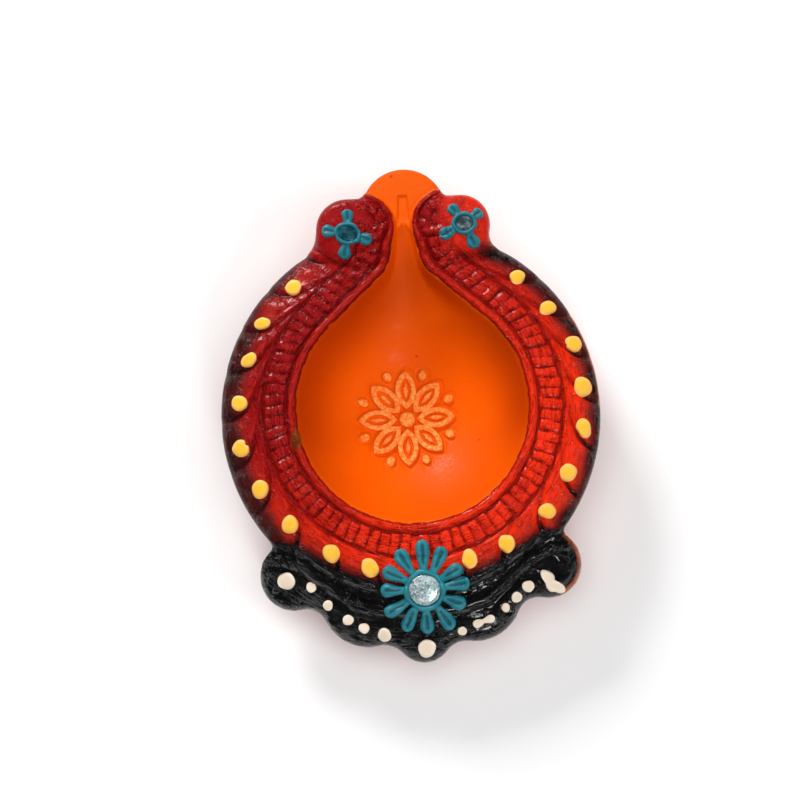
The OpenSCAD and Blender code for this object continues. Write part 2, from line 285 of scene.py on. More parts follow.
def rim_height(r):
    """Flat, then an arc, then a straight fall, by distance from the middle."""
    fall = np.arcsin(np.clip((r - DOME_START) / DOME_R, 0, math.sin(RIM_SLOPE)))
    arc_z = LIP_Z - DOME_R * (1 - np.cos(fall))
    return arc_z - np.maximum(r - DOME_END, 0) * math.tan(RIM_SLOPE)


def bowl_height(x, y):
    """A ball's inner floor joined to a cone-shaped valley that ends at the tongue."""
    r2 = (x - BOWL_MID[0]) ** 2 + (y - BOWL_MID[1]) ** 2
    ball = BOWL_CENTRE_Z - np.sqrt(np.maximum(BOWL_CURVE ** 2 - r2, 1))
    run = np.array([NECK_Y - BOWL_MID[1], BOWL_CENTRE_Z - TONGUE_Z])
    reach = np.hypot(*run)
    ca, sa = run / reach
    spread = 1 + math.tan(math.asin(BOWL_CURVE / reach) - math.radians(2)) ** 2
    across = x - AXIS_X
    back = y - NECK_Y
    a = 1 - spread * sa * sa
    b = 2 * spread * ca * sa * back
    c = across ** 2 + back ** 2 * (1 - spread * ca * ca)
    inside = b * b - 4 * a * c
    drop = (-b - np.sqrt(np.maximum(inside, 0))) / (2 * a)
    along = drop * sa - back * ca
    valley = np.where((back < 0) & (inside > 0) & (along < 29), TONGUE_Z + drop, 60.0)
    return soft_min(ball, valley, 1.6)


def groove_depth(x, y):
    """Depth of the shallow flat-bottomed wick groove, 0 outside it."""
    gx = np.abs(x - AXIS_X - 0.1) - 1.0 - 0.06 * np.abs(y - NECK_Y - 6)
    gy = np.abs(y - (NECK_Y + 2.5)) - 3.4
    out = np.hypot(np.maximum(gx, 0), np.maximum(gy, 0)) + np.minimum(np.maximum(gx, gy), 0)
    return 0.5 * (1 - ease(-0.35, 0.35, out))


RELIEF_MID = (-1.4, -0.6)
LEAF_COUNT = 8
RELIEF_H = 0.75


def ornament(x, y):
    """Height of the floor's rosette and how much it is raised: a boss, outlined pointed leaves
    and a line of small leaves between them, each with a pressed groove beside it."""
    px = x - RELIEF_MID[0]
    py = y - RELIEF_MID[1]
    r = np.hypot(px, py)
    turn = 2 * math.pi / LEAF_COUNT
    theta = (np.arctan2(py, px) + turn / 2) % turn - turn / 2
    lx = r * np.cos(theta)
    ly = np.abs(r * np.sin(theta))
    half_l, half_w = 4.5, 2.45
    bend = (half_l ** 2 + half_w ** 2) / (2 * half_w)
    edge = bend - np.hypot(lx - 6.9, ly + bend - half_w)
    edge = np.where(np.abs(lx - 6.9) < half_l + 1, edge, -2.0)
    band = ease(-0.25, 0.15, edge) * (1 - ease(1.05, 1.4, edge))
    core = ease(1.75, 2.05, edge)
    boss = 1 - ease(1.6, 2.1, r)
    mid_theta = (np.arctan2(py, px)) % turn - turn / 2
    mx = r * np.cos(mid_theta)
    my = np.abs(r * np.sin(mid_theta))
    tip_edge = 1.15 - np.hypot(mx - 10.9, my * 1.15)
    tip = ease(-0.2, 0.25, tip_edge)
    raised = np.maximum.reduce([band, core * 0.85, boss, tip])
    groove = np.exp(-((edge + 0.55) / 0.35) ** 2) * (np.abs(lx - 6.9) < half_l + 1)
    groove = np.maximum(groove, np.exp(-((r - 2.4) / 0.3) ** 2) * 0.6)
    groove = np.maximum(groove, np.exp(-((tip_edge + 0.5) / 0.3) ** 2) * 0.7)
    fade = 1 - ease(12.2, 13.2, r)
    return (raised * RELIEF_H - groove * (1 - raised) * 0.4) * fade, raised * fade


def inner_height(x, y, away):
    """The orange surface: bowl, valley, tongue and groove, drawn up to the lip at its edge.
    away is the distance inside the opening's edge."""
    bowl = bowl_height(x, y)
    from_tip = np.hypot(x - TONGUE_MID[0], y - TONGUE_MID[1]) / TONGUE_R
    tongue = TONGUE_Z - 0.35 * from_tip ** 4 * ease(44, 50, y)
    z = np.where(y > 38, np.minimum(bowl, tongue), np.minimum(bowl, LIP_Z))
    z = z - groove_depth(x, y) * ease(43.6, 45.4, y)
    z = z + ornament(x, y)[0]
    width = np.clip(0.5 * np.abs(x - AXIS_X), 0.55, 2.6)
    climb = (1 - np.clip(away / width, 0, 1)) ** 2.2
    beside = ease(18, 26, y) * (1 - ease(43.5, 47.5, y))
    z = z + climb * beside * np.maximum(LIP_Z - 0.2 - z, 0)
    at_tongue = ease(44, 47, y)
    lift = (1 - np.clip(away / 0.7, 0, 1)) ** 2 * at_tongue * (1 - ease(27, 33, tongue_turn(x, y)))
    return z + lift * np.maximum(LIP_Z - 0.5 - z, 0)


def tongue_turn(x, y):
    """Degrees above level of a point seen from the tongue's middle, on either side."""
    return np.degrees(np.arctan2(y - TONGUE_MID[1], np.abs(x - TONGUE_MID[0])))


def pad_height(x, y):
    """Two rounded cushions, one each side of the neck, that rise from a level at the lip."""
    side = np.where(x > AXIS_X, 1.0, -1.0)
    px = np.abs(x - AXIS_X) - 11.3
    py = y - 43.2
    rho = np.hypot(px / 9.8, py / 8.9)
    level = LIP_Z - 0.75
    swell = (PAD_TOP_Z - level) * np.sqrt(np.clip(1 - rho ** 2, 0, 1)) * (1 + 0.02 * side)
    skirt = level - 6.5 * np.maximum(rho - 0.93, 0)
    return np.where(rho < 1, np.maximum(level, skirt) + swell, skirt)


YELLOW_RIGHT = (
    (48.2, 40.1), (33.6, 40.1), (19.1, 41.2), (4.7, 40.6), (-9.1, 40.6),
    (-24.6, 39.6), (-39.5, 39.6), (-57.0, 38.4), (-71.1, 37.3),
)
YELLOW_LEFT = (
    (130.4, 39.9), (146.4, 40.3), (159.6, 39.6), (174.5, 40.0), (189.7, 40.5),
    (204.8, 39.6), (220.8, 38.6), (238.4, 38.0), (253.0, 37.9),
)
LEAF_PITCH = 14.7


def leaf_swing(x, y, d):
    """How the divisions between leaves turn: they leave the ladder along its edge and bend
    outwards, as a falling exponential. Returns the turn in degrees and its rate per mm."""
    angle = front_angle(x, y)
    side = ease(30, 70, angle)
    size = 12.0 + 6.0 * side
    width = 3.3 - 0.9 * side
    turn = size * np.exp(-(np.maximum(d, 8.0) - 8.4) / width)
    return turn, turn / width


def leaf_phase(x, y, d):
    """Whole number at each leaf's middle, counted from the front on each side."""
    angle = front_angle(x, y) - leaf_swing(x, y, d)[0] - 1.2
    right = np.array([a + 90 for a, _ in YELLOW_RIGHT])[::-1]
    left = np.array([270 - a for a, _ in YELLOW_LEFT])[::-1]
    out = []
    for marks in (right, left):
        ends = np.concatenate([[marks[0] - 4 * LEAF_PITCH], marks, [marks[-1] + 6 * LEAF_PITCH]])
        count = np.concatenate([[-4], np.arange(len(marks)), [len(marks) + 5]])
        out.append(np.interp(angle, ends, count))
    return np.where(x > 0, out[0], out[1])


def leaves(x, y, d, e):
    """Overlapping leaves of the outer band. The distance to the nearest division is the phase
    divided by its slope; the height swells with it and falls into a narrow groove at 0.
    Returns the height and how deep in a division the point is."""
    t = (leaf_phase(x, y, d) + 0.5) % 1
    steep = np.hypot(1 / 10.4, leaf_swing(x, y, d)[1] / LEAF_PITCH)
    front_gap = t / steep
    back_gap = (1 - t) / steep
    near = np.minimum(front_gap, back_gap) + 0.12 * wobble(x, y, 3.1, 4)
    swell = ease(0, 1.5, front_gap) * ease(0, 2.6, back_gap)
    cut = np.exp(-(near / 0.42) ** 2)
    angle = front_angle(x, y)
    zone = ease(8.2, 8.9, d) * ease(6, 12, angle) * (1 - ease(150, 156, angle))
    zone = zone * (1 - ease(41.0, 43.5, np.hypot(x, y)) * (1 - ease(44, 50, angle)))
    dent = 0.28 * ease(8.8, 11, d) * np.exp(-((t - 0.5) / 0.13) ** 2) * (1 - ease(10.5, 13.5, d))
    deep = 0.35 + 0.65 * ease(9.0, 12.5, d)
    height = zone * (0.8 * swell - 0.35 * cut * deep - dent)
    return height, zone * cut * deep


def pad_turn(x, y):
    """Degrees round the pad from its rim side over the neck to the tongue, 0 below the pads."""
    side = np.abs(x - AXIS_X) - PAD_OFFSET
    turn = np.degrees(np.arctan2(y - PAD_Y, -side)) + 90
    return np.where((y > 33) & (np.hypot(side, y - PAD_Y) < 13), np.clip(turn, 0, 180), 0)


def drawn_in(x, y):
    """How much closer to the lip the pressed bands lie, as a factor that grows by the pads."""
    return 1 + 0.85 * ease(50, 105, pad_turn(x, y))


def ladder_places():
    """Block number at each point of the opening's line, counted along the band's middle."""
    x, y = OPENING.T
    band = OPENING + OPEN_N * (5.3 / drawn_in(x, y))[:, None]
    step = np.hypot(*(np.roll(band, -1, axis=0) - band).T)
    return np.concatenate([[0], np.cumsum(step)[:-1]]) / 2.55


LADDER_N = ladder_places()


def ladder(x, y, s, d):
    """Band of short raised blocks between two grooves, with uneven ends, sides and heights."""
    place = np.interp(s % OPEN_L, OPEN_S, LADDER_N) + 0.14 * wobble(x, y, 9, 2)
    lean = 0.08 * (d - 5.3) * np.where(x > AXIS_X, 1, -1) * ease(60, 120, front_angle(x, y))
    number = np.floor(place + lean)
    t = place + lean - number
    rough = 1 + 1.2 * ease(112, 126, front_angle(x, y)) * (x < 0)
    bow = 0.035 * rough * np.sin(d * 1.9 + number * 2.1)
    low = 0.10 + 0.05 * np.sin(number * 2.3) + 0.022 * rough * (d - 5.3) * np.sin(number * 1.7) + bow
    high = 0.90 + 0.05 * np.sin(number * 3.1) + 0.022 * rough * (d - 5.3) * np.sin(number * 2.9) + bow
    across = ease(low - 0.09, low + 0.10, t) * (1 - ease(high - 0.10, high + 0.09, t))
    inner = 2.75 + 0.25 * np.sin(number * 1.9)
    outer = 7.9 + 0.3 * np.sin(number * 3.7)
    along = ease(inner - 0.1, inner + 0.5, d) * (1 - ease(outer - 0.5, outer + 0.1, d))
    crown = 1 - 0.3 * ((d - 5.4) / 2.7) ** 2 - 0.6 * (t - 0.5) ** 2
    pit = 0.22 * rough * np.exp(-(((d - 5.0 - 0.8 * np.sin(number * 4.1)) / 0.5) ** 2)) * (np.sin(number * 5.3) > 0.1)
    tall = 0.72 + 0.2 * np.sin(number * 2.3)
    block = across * along * np.clip(crown - pit, 0, 1) * tall
    floor = ease(2.2, 2.6, d) * (1 - ease(8.0, 8.5, d))
    fade = 1 - ease(125, 165, pad_turn(x, y))
    return (0.84 * block - 0.26 * floor) * fade, floor * (1 - across * along) * fade


def bead(x, y, d):
    """Round cord that follows the lip."""
    tall = (0.66 + 0.12 * wobble(x, y, 4, 5)) * (1 - 0.4 * ease(60, 110, pad_turn(x, y)))
    return tall * np.sqrt(np.clip(1 - ((d - 1.2) / 0.95) ** 2, 0, 1))


def worked(x, y, d):
    """Distance from the lip as the hand-pressed bands have it: a little uneven, and drawn in
    closer to the lip where they run up beside the pads."""
    return d * drawn_in(x, y) + (0.10 * wobble(x, y, 6, 3) + 0.05 * wobble(x, y, 2.3, 8)) * ease(0, 0.8, d)


# Radius of the skirt's two cords and of the black paint's start, by degrees from the front
CORD_ANGLES = (0, 10, 19, 25, 31, 37, 43, 47, 52)
INNER_CORD = (42.3, 42.2, 42.0, 41.9, 41.4, 41.0, 41.8, 43.6, 46.2)
OUTER_CORD = (46.6, 47.3, 47.3, 46.1, 44.9, 44.3, 46.0, 49.0, 54.0)
PAINT_ANGLES = (0, 16, 30, 39, 43, 46, 49, 52)
PAINT_START = (40.3, 40.2, 40.3, 40.5, 41.0, 42.0, 44.6, 60.0)


def cords(x, y):
    """Raised cords of the skirt: two waving arcs that swing out into the end lobes, two faint
    ones between them, and a scroll round each end lobe's middle."""
    r = np.hypot(x, y) + 0.15 * wobble(x, y, 7, 6)
    angle = front_angle(x, y)
    inner = np.interp(angle, CORD_ANGLES, INNER_CORD)
    outer = np.interp(angle, CORD_ANGLES, OUTER_CORD)
    total = np.zeros(np.shape(x))
    for place, width, tall in ((0, 1.15, 0.85), (0.36, 0.55, 0.3), (0.66, 0.5, 0.25), (1, 1.2, 0.95)):
        off = (r - inner - (outer - inner) * place) / width
        total = np.maximum(total, tall * np.sqrt(np.clip(1 - off ** 2, 0, 1)))
    below = 0.35 * np.exp(-((r - outer - 1.6) / 0.5) ** 2)
    total = (total - below) * (1 - ease(49, 54, angle))
    side = np.where(x > 0, 31.2, -30.8)
    lx, ly = (x - side) * np.sign(x), y + 38.6
    lr = np.hypot(lx, ly)
    coil = lr - 2.9 - 0.3 * (np.arctan2(ly, lx) + math.pi)
    scroll = (np.exp(-(coil / 0.6) ** 2) - 0.5 * np.exp(-((coil - 1.3) / 0.5) ** 2)) * (1 - ease(4.6, 5.4, lr))
    scroll = scroll * np.where(x > 0, 0.5, 0.0)
    rosette = np.hypot(np.abs(x) - 20.0, y + 47.2)
    small = (np.exp(-((rosette - 1.9) / 0.4) ** 2) - 0.5 * np.exp(-((rosette - 1.1) / 0.35) ** 2)) * 0.4
    return np.maximum(total, 0) + scroll + small + np.minimum(total, 0)


def hem(e, x, y):
    """Rounded hem just inside the skirt's scallops, with a groove behind it."""
    zone = 1 - ease(47, 52, front_angle(x, y))
    ridge = 0.4 * np.exp(-((e - 2.6) / 1.6) ** 2)
    groove = 0.3 * np.exp(-((e - 5.4) / 0.7) ** 2)
    return (ridge - groove) * zone


def outer_height(x, y, s, d, e):
    """The red and black surface outside the opening, and its hollows, from -1 to 1."""
    r = np.hypot(x, y)
    base = rim_height(r)
    beyond = ease(45.5, 48, r) * ease(30, 36, y)
    base = base - beyond * 1.5
    pads = pad_height(x, y)
    near_pad = ease(28, 34, y)
    base = np.where(y > 27, base * (1 - near_pad) + soft_max(base, pads, 1.6) * near_pad, base)
    w = worked(x, y, d)
    leaf, cut = leaves(x, y, d, e)
    rung, gap = ladder(x, y, s, w)
    cord = bead(x, y, w)
    under_pad = 1 - ease(0.9, 1.5, pads - rim_height(r)) * near_pad
    skirt = cords(x, y) * ease(40, 41.5, r)
    by_pad = 1 - ease(125, 165, pad_turn(x, y))
    line = np.exp(-((w - 2.4) / 0.2) ** 2) * by_pad
    outer_line = np.exp(-((w - 8.35) / 0.3) ** 2) * by_pad
    height = base + cord + rung + leaf * under_pad + skirt + hem(e, x, y)
    height = height - 0.25 * line - 0.3 * outer_line
    height = height + 0.10 * wobble(x, y, 11, 1) + 0.08 * wobble(x, y, 4.3, 7) + 0.06 * wobble(x, y, 1.9, 9)
    hollow = cut * under_pad + 0.8 * gap + 0.8 * line + 0.6 * outer_line
    crest = np.maximum(cord / 0.7, np.maximum(rung / 0.7, leaf))
    return height, np.clip(crest - hollow, -1, 1)


EDGE_R = 1.7


def edge_fall(e):
    """How far the top drops towards the outline to round its edge."""
    t = np.clip(1 - e / EDGE_R, 0, 1)
    return EDGE_R * 0.85 * (1 - np.sqrt(1 - t * t * 0.98))


def top_height(x, y):
    """Height of the finished clay at any point, for what sits on it."""
    s, d = from_opening(x, y)
    e = from_outline(x, y)[1]
    outer = outer_height(x, y, s, d, e)[0] - edge_fall(e)
    inner = inner_height(x, y, -d)
    return np.where(d > 0, outer, inner)


def under_height(x, y):
    """The underside: foot, shell, overhang and keel."""
    r = np.hypot(x, y)
    shell = np.interp(r, SHELL_R, SHELL_Z)
    over = rim_height(r) - RIM_T
    z = np.where(r < SHELL_R[-1], shell, over)
    z = soft_min(z, over, 0.8)
    spout = ease(33, 39, y)
    flat = np.where(y > 33, SPOUT_UNDER_Z + 0.9 * ease(46, 57, y), z)
    z = z * (1 - spout) + np.maximum(flat, 0) * spout
    t = np.clip((y - KEEL_START[0]) / (KEEL_END[0] - KEEL_START[0]), 0, 1)
    mid_z = KEEL_START[1] + (KEEL_END[1] - KEEL_START[1]) * t
    keel_r = KEEL_START[2] + (KEEL_END[2] - KEEL_START[2]) * t
    inside = keel_r ** 2 - (x - AXIS_X) ** 2
    keel = np.where((y > KEEL_START[0]) & (inside > 0), mid_z - np.sqrt(np.maximum(inside, 0)), 60)
    z = soft_min(z, keel, 1.2)
    return np.where(r < FOOT_R + 0.01, 0, np.maximum(z, 0))


# Mesh making ----------------------------------------------------------------------------------

def make_object(name, points, quads, fields=None, flow=None, smooth=True):
    """A closed mesh from points in millimetres and index rows. Points in one place become one,
    and faces that collapse are dropped."""
    points = np.asarray(points, float)
    keys = np.round(points, 4)
    _, first, back = np.unique(keys, axis=0, return_index=True, return_inverse=True)
    back = back.ravel()
    quads = back[quads]
    faces = []
    for row in quads.tolist():
        kept = [v for i, v in enumerate(row) if v != row[i - 1]]
        if len(kept) > 2:
            faces.append(kept)
    mesh = bpy.data.meshes.new(name)
    mesh.from_pydata((points[first] * MM).tolist(), [], faces)
    for key, values in (fields or {}).items():
        layer = mesh.attributes.new(key, "FLOAT", "POINT")
        layer.data.foreach_set("value", np.ravel(values)[first].astype(np.float32))
    if flow is not None:
        layer = mesh.attributes.new("flow", "FLOAT_VECTOR", "POINT")
        layer.data.foreach_set("vector", flow[first].astype(np.float32).ravel())
    mesh.polygons.foreach_set("use_smooth", np.full(len(mesh.polygons), smooth))
    mesh.update()
    piece = bpy.data.objects.new(name, mesh)
    bpy.context.scene.collection.objects.link(piece)
    return piece


def grid_quads(rows, columns, wrap=True):
    """Index rows of the quads between neighbouring rows, each row closed on itself."""
    i, j = np.meshgrid(np.arange(rows - 1), np.arange(columns if wrap else columns - 1), indexing="ij")
    after = (j + 1) % columns
    quads = np.stack([i * columns + j, (i + 1) * columns + j, (i + 1) * columns + after,
                      i * columns + after], axis=-1)
    return quads.reshape(-1, 4)


def settle(piece, material, node_names):
    """Gives a piece its finish and its place on the body, and hides the CAD parts of the nodes that it stands for."""
    piece.data.materials.clear()
    piece.data.materials.append(material)
    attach(piece, ROOT)
    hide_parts(*node_names)


COLUMNS = 600
BOWL_ROWS = 60
RIM_ROWS = 70


def paired_lines():
    """Matching points of the centre line, the opening and the outline for every column. A few
    landmarks pair the two lines, and the length between landmarks is shared out evenly."""
    marks = [((0.6, -26.3), (0.3, -58.6)), ((20.8, -17.2), (34.4, -29.0)), ((27.6, 0.7), (44.3, 0.5)),
             ((18.2, 21.2), (32.0, 29.5)), ((4.6, 33.5), (21.8, 38.0)), ((2.6, 43.3), (20.8, 44.5)),
             ((9.5, 51.2), (9.9, 51.3)), ((0.8, 56.6), (0.8, 57.1)),
             ((-8.1, 51.2), (-8.4, 51.4)), ((-1.3, 43.3), (-19.9, 43.5)), ((-3.3, 33.5), (-21.6, 38.6)),
             ((-17.0, 21.2), (-32.2, 29.9)), ((-26.4, 0.7), (-44.5, 0.5)), ((-19.6, -17.2), (-34.4, -29.6))]
    inner, outer = [], []
    for a, b in marks:
        inner.append(OPEN_S[np.argmin(np.hypot(*(OPENING - a).T))])
        outer.append(OUT_S[np.argmin(np.hypot(*(OUTLINE - b).T))])
    inner = np.array(inner)
    outer = np.array(outer)
    inner[0] = outer[0] = 0.0
    inner = np.append(inner, OPEN_L)
    outer = np.append(outer, OUT_L)
    weight = 0.5 * inner / OPEN_L + 0.5 * outer / OUT_L
    u = np.linspace(0, 1, COLUMNS, endpoint=False)
    s_in = np.interp(u, weight, inner)
    s_out = np.interp(u, weight, outer)
    inner_pts = np.stack([np.interp(s_in, OPEN_S, OPENING[:, k], period=OPEN_L) for k in (0, 1)], axis=1)
    outer_pts = np.stack([np.interp(s_out, OUT_S, OUTLINE[:, k], period=OUT_L) for k in (0, 1)], axis=1)
    rise = inner_pts[:, 1]
    rise = (rise + np.roll(rise[::-1], 1)) / 2
    lift = np.interp(rise, [10, 24, 30, 36, 43, 47.2, 57], [RELIEF_MID[1], 7, 17, 31, 42, 46.5, 48.6])
    sway = np.interp(rise, [10, 26], [RELIEF_MID[0], AXIS_X])
    spine = np.stack([sway, lift], axis=1)
    return spine, inner_pts, outer_pts, s_in


def build_body_mesh():
    """The clay as one closed skin in rows: from the centre line out over the bowl to the
    opening, over the rim to the outline, down the edge and back under to the foot's middle."""
    spine, inner, outer, s_in = paired_lines()
    dense = int(BOWL_ROWS * 0.7)
    reach = np.concatenate([np.linspace(0, 12.6, dense, endpoint=False) / 27, np.linspace(12.6 / 27, 1, BOWL_ROWS - dense + 1)])
    rows_xy = [spine + (inner - spine) * t for t in reach[:-1]]
    gap = outer - inner
    length = np.hypot(*gap.T)
    first_part = np.minimum(9.2, 0.55 * length) / length
    edge_part = np.minimum(EDGE_R * 1.15, 0.3 * length) / length
    fine, wide, edge = 32, RIM_ROWS - 32 - 7, 7
    for k in range(fine):
        rows_xy.append(inner + gap * (first_part * k / fine)[:, None])
    for k in range(wide):
        t = first_part + (1 - edge_part - first_part) * k / wide
        rows_xy.append(inner + gap * t[:, None])
    for k in range(edge + 1):
        t = 1 - edge_part * (1 - math.sin(math.pi / 2 * k / edge))
        rows_xy.append(inner + gap * t[:, None])
    xy = np.stack(rows_xy)
    x, y = xy[..., 0], xy[..., 1]
    s, d = from_opening(x, y)
    s_out, e = from_outline(x, y)
    e[-1] = 0
    in_rows = len(reach) - 1
    d[in_rows] = 0
    z = np.empty(x.shape)
    z[:in_rows] = inner_height(x[:in_rows], y[:in_rows], np.abs(d[:in_rows]))
    top, crest = outer_height(x[in_rows:], y[in_rows:], s[in_rows:], np.maximum(d[in_rows:], 0), e[in_rows:])
    z[in_rows:] = top - edge_fall(np.maximum(e[in_rows:], 0))
    lip = z[in_rows]
    z[in_rows] = np.where(y[in_rows] > 50.5, np.minimum(lip, TONGUE_Z - 0.2), lip)
    relief = np.zeros(x.shape)
    relief[in_rows:] = crest
    relief[:in_rows] = ornament(x[:in_rows], y[:in_rows])[1]
    tongue_rim = np.clip((tongue_turn(x[-1], y[-1]) - 26) / 6, 0, 1) * (y[-1] > 49)
    for k in range(in_rows, len(z)):
        t = (k - in_rows) / (len(z) - 1 - in_rows)
        level = TONGUE_Z - 0.35 - 1.2 * (1 - math.sqrt(max(1 - t * t * 0.98, 0)))
        z[k] = z[k] * (1 - tongue_rim) + level * tongue_rim
    side_rows = 6
    wall_top = z[-1]
    below = under_height(outer[:, 0], outer[:, 1])
    under_edge = 1.0
    rows = [np.stack([x, y, z], axis=-1)]
    black = np.hypot(x, y) - np.interp(front_angle(x, y), PAINT_ANGLES, PAINT_START)
    facts = {"lip": [d], "edge": [e], "relief": [relief], "under": [np.zeros(x.shape)], "skirt": [black]}

    def add_row(px, py, pz, mark):
        rows.append(np.stack([px, py, pz], axis=-1)[None])
        facts["lip"].append(d[-1:])
        facts["edge"].append(np.zeros((1, COLUMNS)))
        facts["relief"].append(np.zeros((1, COLUMNS)))
        facts["under"].append(np.full((1, COLUMNS), mark))
        facts["skirt"].append(black[-1:])

    inward = outer - moved_inwards(outer)
    for k in range(1, side_rows + 1):
        t = k / side_rows
        bulge = 0.12 * math.sin(math.pi * t)
        tuck = under_edge * (1 - math.sqrt(1 - t ** 6))
        px = outer[:, 0] + inward[:, 0] * (bulge - tuck)
        py = outer[:, 1] + inward[:, 1] * (bulge - tuck)
        add_row(px, py, wall_top + (below - wall_top) * t, t)
    shrink = np.concatenate([np.linspace(0.975, 0.52, 16), [0.47, 0.43]])
    for t in shrink:
        px, py = outer[:, 0] * t, outer[:, 1] * t
        add_row(px, py, under_height(px, py), 1.0)
    angle = np.arctan2(outer[:, 1], outer[:, 0])
    for radius in (FOOT_R + 0.35, FOOT_R + 0.1, FOOT_R - 0.35, 12.0, 5.0, 0.0):
        px, py = radius * np.cos(angle), radius * np.sin(angle)
        height = 0.8 if radius > FOOT_R + 0.2 else 0.3 if radius > FOOT_R else 0.0
        add_row(px, py, np.full(COLUMNS, height), 2.0 if height == 0 else 1.0)
    points = np.concatenate(rows)
    fields = {key: np.concatenate(value) for key, value in facts.items()}
    s_all = np.concatenate([s, np.repeat(s[-1:], len(points) - len(s), axis=0)])
    flow = np.stack([s_all, fields["lip"], points[..., 2]], axis=-1).reshape(-1, 3)
    quads = grid_quads(len(points), COLUMNS)
    return make_object("painted_body", points.reshape(-1, 3), quads, fields, flow)


def moved_inwards(points):
    """The points moved one step inwards, square to the outline."""
    k = np.array([np.argmin(np.hypot(*(OUTLINE - p).T)) for p in points])
    return points - OUT_N[k]


# Paint drops, petals and stones ---------------------------------------------------------------

def fitted_plane(x, y, z):
    """Heights of the plane that lies closest to the given ones, by least squares."""
    grid = np.stack([np.ravel(x), np.ravel(y), np.ones(np.size(x))], axis=1)
    slope = np.linalg.lstsq(grid, np.ravel(z), rcond=None)[0]
    return slope[0] * x + slope[1] * y + slope[2]


def drop_mesh(name, discs, rise, stretch=(1.0, 1.0, 0.0), nick=None, seed=0.0, sink=0.35):
    """A raised drop of paint over one or more round spots. Its edge is the furthest reach of the
    spots in each direction, and its height falls from a flat crown to the edge like a bead."""
    discs = np.array(discs, float)
    mid = (discs[:, :2] * discs[:, 2:]).sum(axis=0) / discs[:, 2].sum()
    sectors, rings = 48, 9
    phi = np.linspace(0, 2 * math.pi, sectors, endpoint=False)
    ray = np.stack([np.cos(phi), np.sin(phi)], axis=1)
    reach = np.zeros(sectors)
    for cx, cy, radius in discs:
        gap = np.array([cx, cy]) - mid
        along = ray @ gap
        off2 = gap @ gap - along ** 2
        hit = along + np.sqrt(np.maximum(radius ** 2 - off2, 0))
        reach = np.where(off2 < radius ** 2, np.maximum(reach, hit), reach)
    for _ in range(3):
        reach = (np.roll(reach, 1) + 2 * reach + np.roll(reach, -1)) / 4
    wide, high, turn = stretch
    q = phi - math.radians(turn)
    reach = reach / np.hypot(np.cos(q) / wide, np.sin(q) / high)
    reach *= 1 + 0.035 * np.sin(2 * phi + seed) + 0.03 * np.sin(3 * phi + 2.1 * seed) + 0.015 * np.sin(5 * phi + seed)
    if nick:
        off = (np.degrees(phi) - nick[0] + 180) % 360 - 180
        reach *= 1 - nick[1] * np.exp(-(off / nick[2]) ** 2)
    t = np.sin(np.linspace(0, math.pi / 2, rings))[:, None]
    x = mid[0] + ray[:, 0] * reach * t
    y = mid[1] + ray[:, 1] * reach * t
    clay = top_height(x, y)
    level = fitted_plane(x, y, clay)
    crown = rise * (1 - t ** 3.6) ** 0.55
    crown = crown + 0.06 * rise * np.sin(2.2 * x + seed) * np.sin(2.6 * y) * (1 - t)
    shoulder = ease(0.86, 1.0, t)
    z = np.maximum(level * (1 - shoulder) + clay * shoulder + crown, clay + 0.08 * (1 - shoulder))
    z[-1] = clay[-1] - 0.02
    top = np.stack([x, y, z], axis=-1)
    base = np.stack([x[-1:], y[-1:], clay[-1:] - sink], axis=-1)
    middle = np.stack([np.full(sectors, x[0, 0]), np.full(sectors, y[0, 0]),
                       np.full(sectors, clay.min() - sink)], axis=-1)[None]
    points = np.concatenate([top, base, middle])
    fields = {"spread": np.concatenate([np.repeat(t, sectors, axis=1), np.ones((2, sectors))])}
    return make_object(name, points.reshape(-1, 3), grid_quads(len(points), sectors), fields)


def petal_mesh(name, mid, turn, root, reach, width, root_width, rise, bend=0.0, seed=0.0):
    """One squeezed petal: a tapering drop with two side lips and a pressed groove between them.
    Stations run from the ring to the tip, and each has an oval section laid on the clay."""
    stations, sides = 30, 26
    t = np.linspace(0, 1, stations)[:, None]
    psi = np.linspace(0, 2 * math.pi, sides, endpoint=False)[None, :]
    tip_r = width
    run = reach - root
    along = root - 0.5 + (run + 0.5) * (0.5 - 0.5 * np.cos(math.pi * t ** 0.9))
    frac = np.clip((along - root) / run, 0, 1)
    body = root_width + (width - root_width) * ease(0.0, 0.72, frac)
    end = np.sqrt(np.clip(1 - ((along - (reach - tip_r)) / tip_r).clip(0) ** 2, 0, 1))
    half = body * end * (1 + 0.06 * np.sin(5 * frac + seed))
    w = np.cos(psi)
    across = half * w + bend * frac ** 2 * (1 - 0.0 * w)
    a = math.radians(turn)
    x = mid[0] + along * math.cos(a) - across * math.sin(a)
    y = mid[1] + along * math.sin(a) + across * math.cos(a)
    clay = top_height(x, y)
    level = clay * 0.6 + clay.mean(axis=1, keepdims=True) * 0.4
    lips = (1 - np.abs(w) ** 2.6) ** 0.55
    groove = 0.6 * np.exp(-(w / 0.26) ** 2) * ease(0.05, 0.3, frac) * (1 - ease(0.74, 0.97, frac))
    high = rise * (0.62 + 0.38 * ease(0.1, 0.75, frac)) * end ** 0.5
    thick = ease(0.0, 0.3, end)
    top = (level - clay + high * lips * (1 - groove)) * thick
    upper = np.sin(psi) > 1e-9
    under = np.sin(psi) < -1e-9
    z = clay - 0.02 + np.where(upper, top, 0) - np.where(under, 0.28 * thick, 0)
    points = close_ends(np.stack([x, y, z], axis=-1))
    quads = grid_quads(len(points), sides)[:, ::-1]
    pressed = np.where(upper, groove, 0) * np.ones(x.shape)
    pressed[-1] = 0
    fields = {"groove": np.concatenate([np.zeros((1, sides)), pressed])}
    return make_object(name, points.reshape(-1, 3), quads, fields)


def close_ends(points):
    """The rows of a tube with a middle point before its first row and its last row drawn
    together to one point."""
    ends = points[[0, -1]].mean(axis=1, keepdims=True)
    first, last = np.repeat(ends, points.shape[1], axis=1)
    return np.concatenate([first[None], points[:-1], last[None]])


